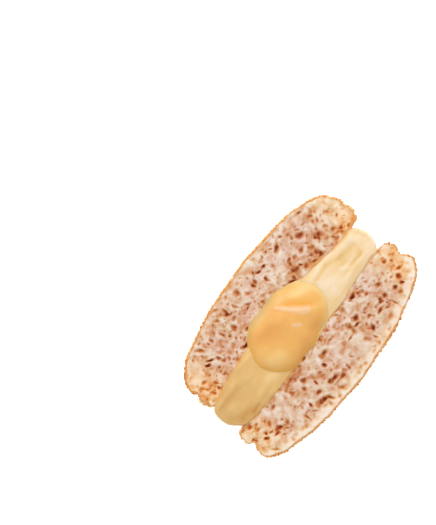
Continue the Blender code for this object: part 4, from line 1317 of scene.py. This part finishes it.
# %% Hand each piece its finish and the node that it stands for
finished(upper_crust, ["upper_shell"], crust_finish)
finished(lower_crust, ["lower_shell"], crust_finish)
finished(upper_sponge, [], sponge_finish)
finished(lower_sponge, [], sponge_finish)
finished(cream, ["buttercream"], cream_finish)
finished(curd, ["lemon_curd"], curd_finish)
finished(brown_grains, [], brown_finish, smooth=False)
finished(golden_grains, [], golden_finish, smooth=False)
finished(dust, [], sliver_finish, smooth=False)
finished(slivers, [], sliver_finish, smooth=False)

# %% [markdown]
# ## The floor, the light and the camera
#
# The half lies on a white floor in a bright, even studio. A large soft lamp stands towards the upper right
# of the picture. The camera looks straight down, turned so that the cut runs up to the right.

# %% A white floor
REACH = 600.0
UNDER = 0.02
corners = [(REACH * x, REACH * y, -UNDER) for x, y in ((-1, -1), (1, -1), (1, 1), (-1, 1))]
floor = new_piece("floor", corners, [[0, 1, 2, 3]])
floor_finish, tree, shader = new_finish("white_floor", 0.9)
shader.inputs["Base Color"].default_value = (0.9, 0.9, 0.9, 1.0)
shader.inputs["Emission Color"].default_value = (1.0, 1.0, 1.0, 1.0)
shader.inputs["Emission Strength"].default_value = 0.6
floor.data.materials.append(floor_finish)

# %% Soft light from the upper right of the picture
TURN = math.radians(52.63)
world = bpy.data.worlds.new("studio")
bpy.context.scene.world = world
world.use_nodes = True
world.node_tree.nodes["Background"].inputs["Color"].default_value = (1.0, 1.0, 1.0, 1.0)
world.node_tree.nodes["Background"].inputs["Strength"].default_value = 0.7


def in_picture(right, up):
    """The X and Y direction on the table that points right and up in the picture."""
    cos, sin = math.cos(TURN), math.sin(TURN)
    return np.array([right * cos + up * sin, -right * sin + up * cos])


def soft_lamp(name, right, up, high, across, watts):
    """A square lamp at a place in the picture and a height, all in metres, that looks at the macaron."""
    lamp = bpy.data.lights.new(name, "AREA")
    lamp.size = across
    lamp.energy = watts
    made = bpy.data.objects.new(name, lamp)
    made.location = (*in_picture(right, up), high)
    made.rotation_euler = (Vector((0.0, 0.0, 0.015)) - made.location).to_track_quat("-Z", "Y").to_euler()
    bpy.context.scene.collection.objects.link(made)


soft_lamp("window", right=-0.1, up=0.55, high=0.65, across=0.5, watts=3.6)

# %% The camera, straight above
# A pixel is this many millimetres, and the camera aims at this X and Y on the cut.
PIXEL = 0.19355
PICTURE = (436, 525)
AIM = (0.16, 19.87)
LENS = 200.0
SENSOR = 36.0
tall = PICTURE[1] * PIXEL
lens = bpy.data.cameras.new("camera")
lens.lens = LENS
lens.sensor_width = SENSOR
camera = bpy.data.objects.new("camera", lens)
camera.location = (AIM[0] * MM, AIM[1] * MM, (CUT + tall * LENS / SENSOR) * MM)
camera.rotation_euler = (0.0, 0.0, -TURN)
bpy.context.scene.collection.objects.link(camera)
bpy.context.scene.camera = camera
bpy.context.scene.view_settings.view_transform = "Standard"
print("the camera is", round(camera.location.z, 3), "m above the table")

# %% Update the scene and finish
bpy.context.view_layer.update()
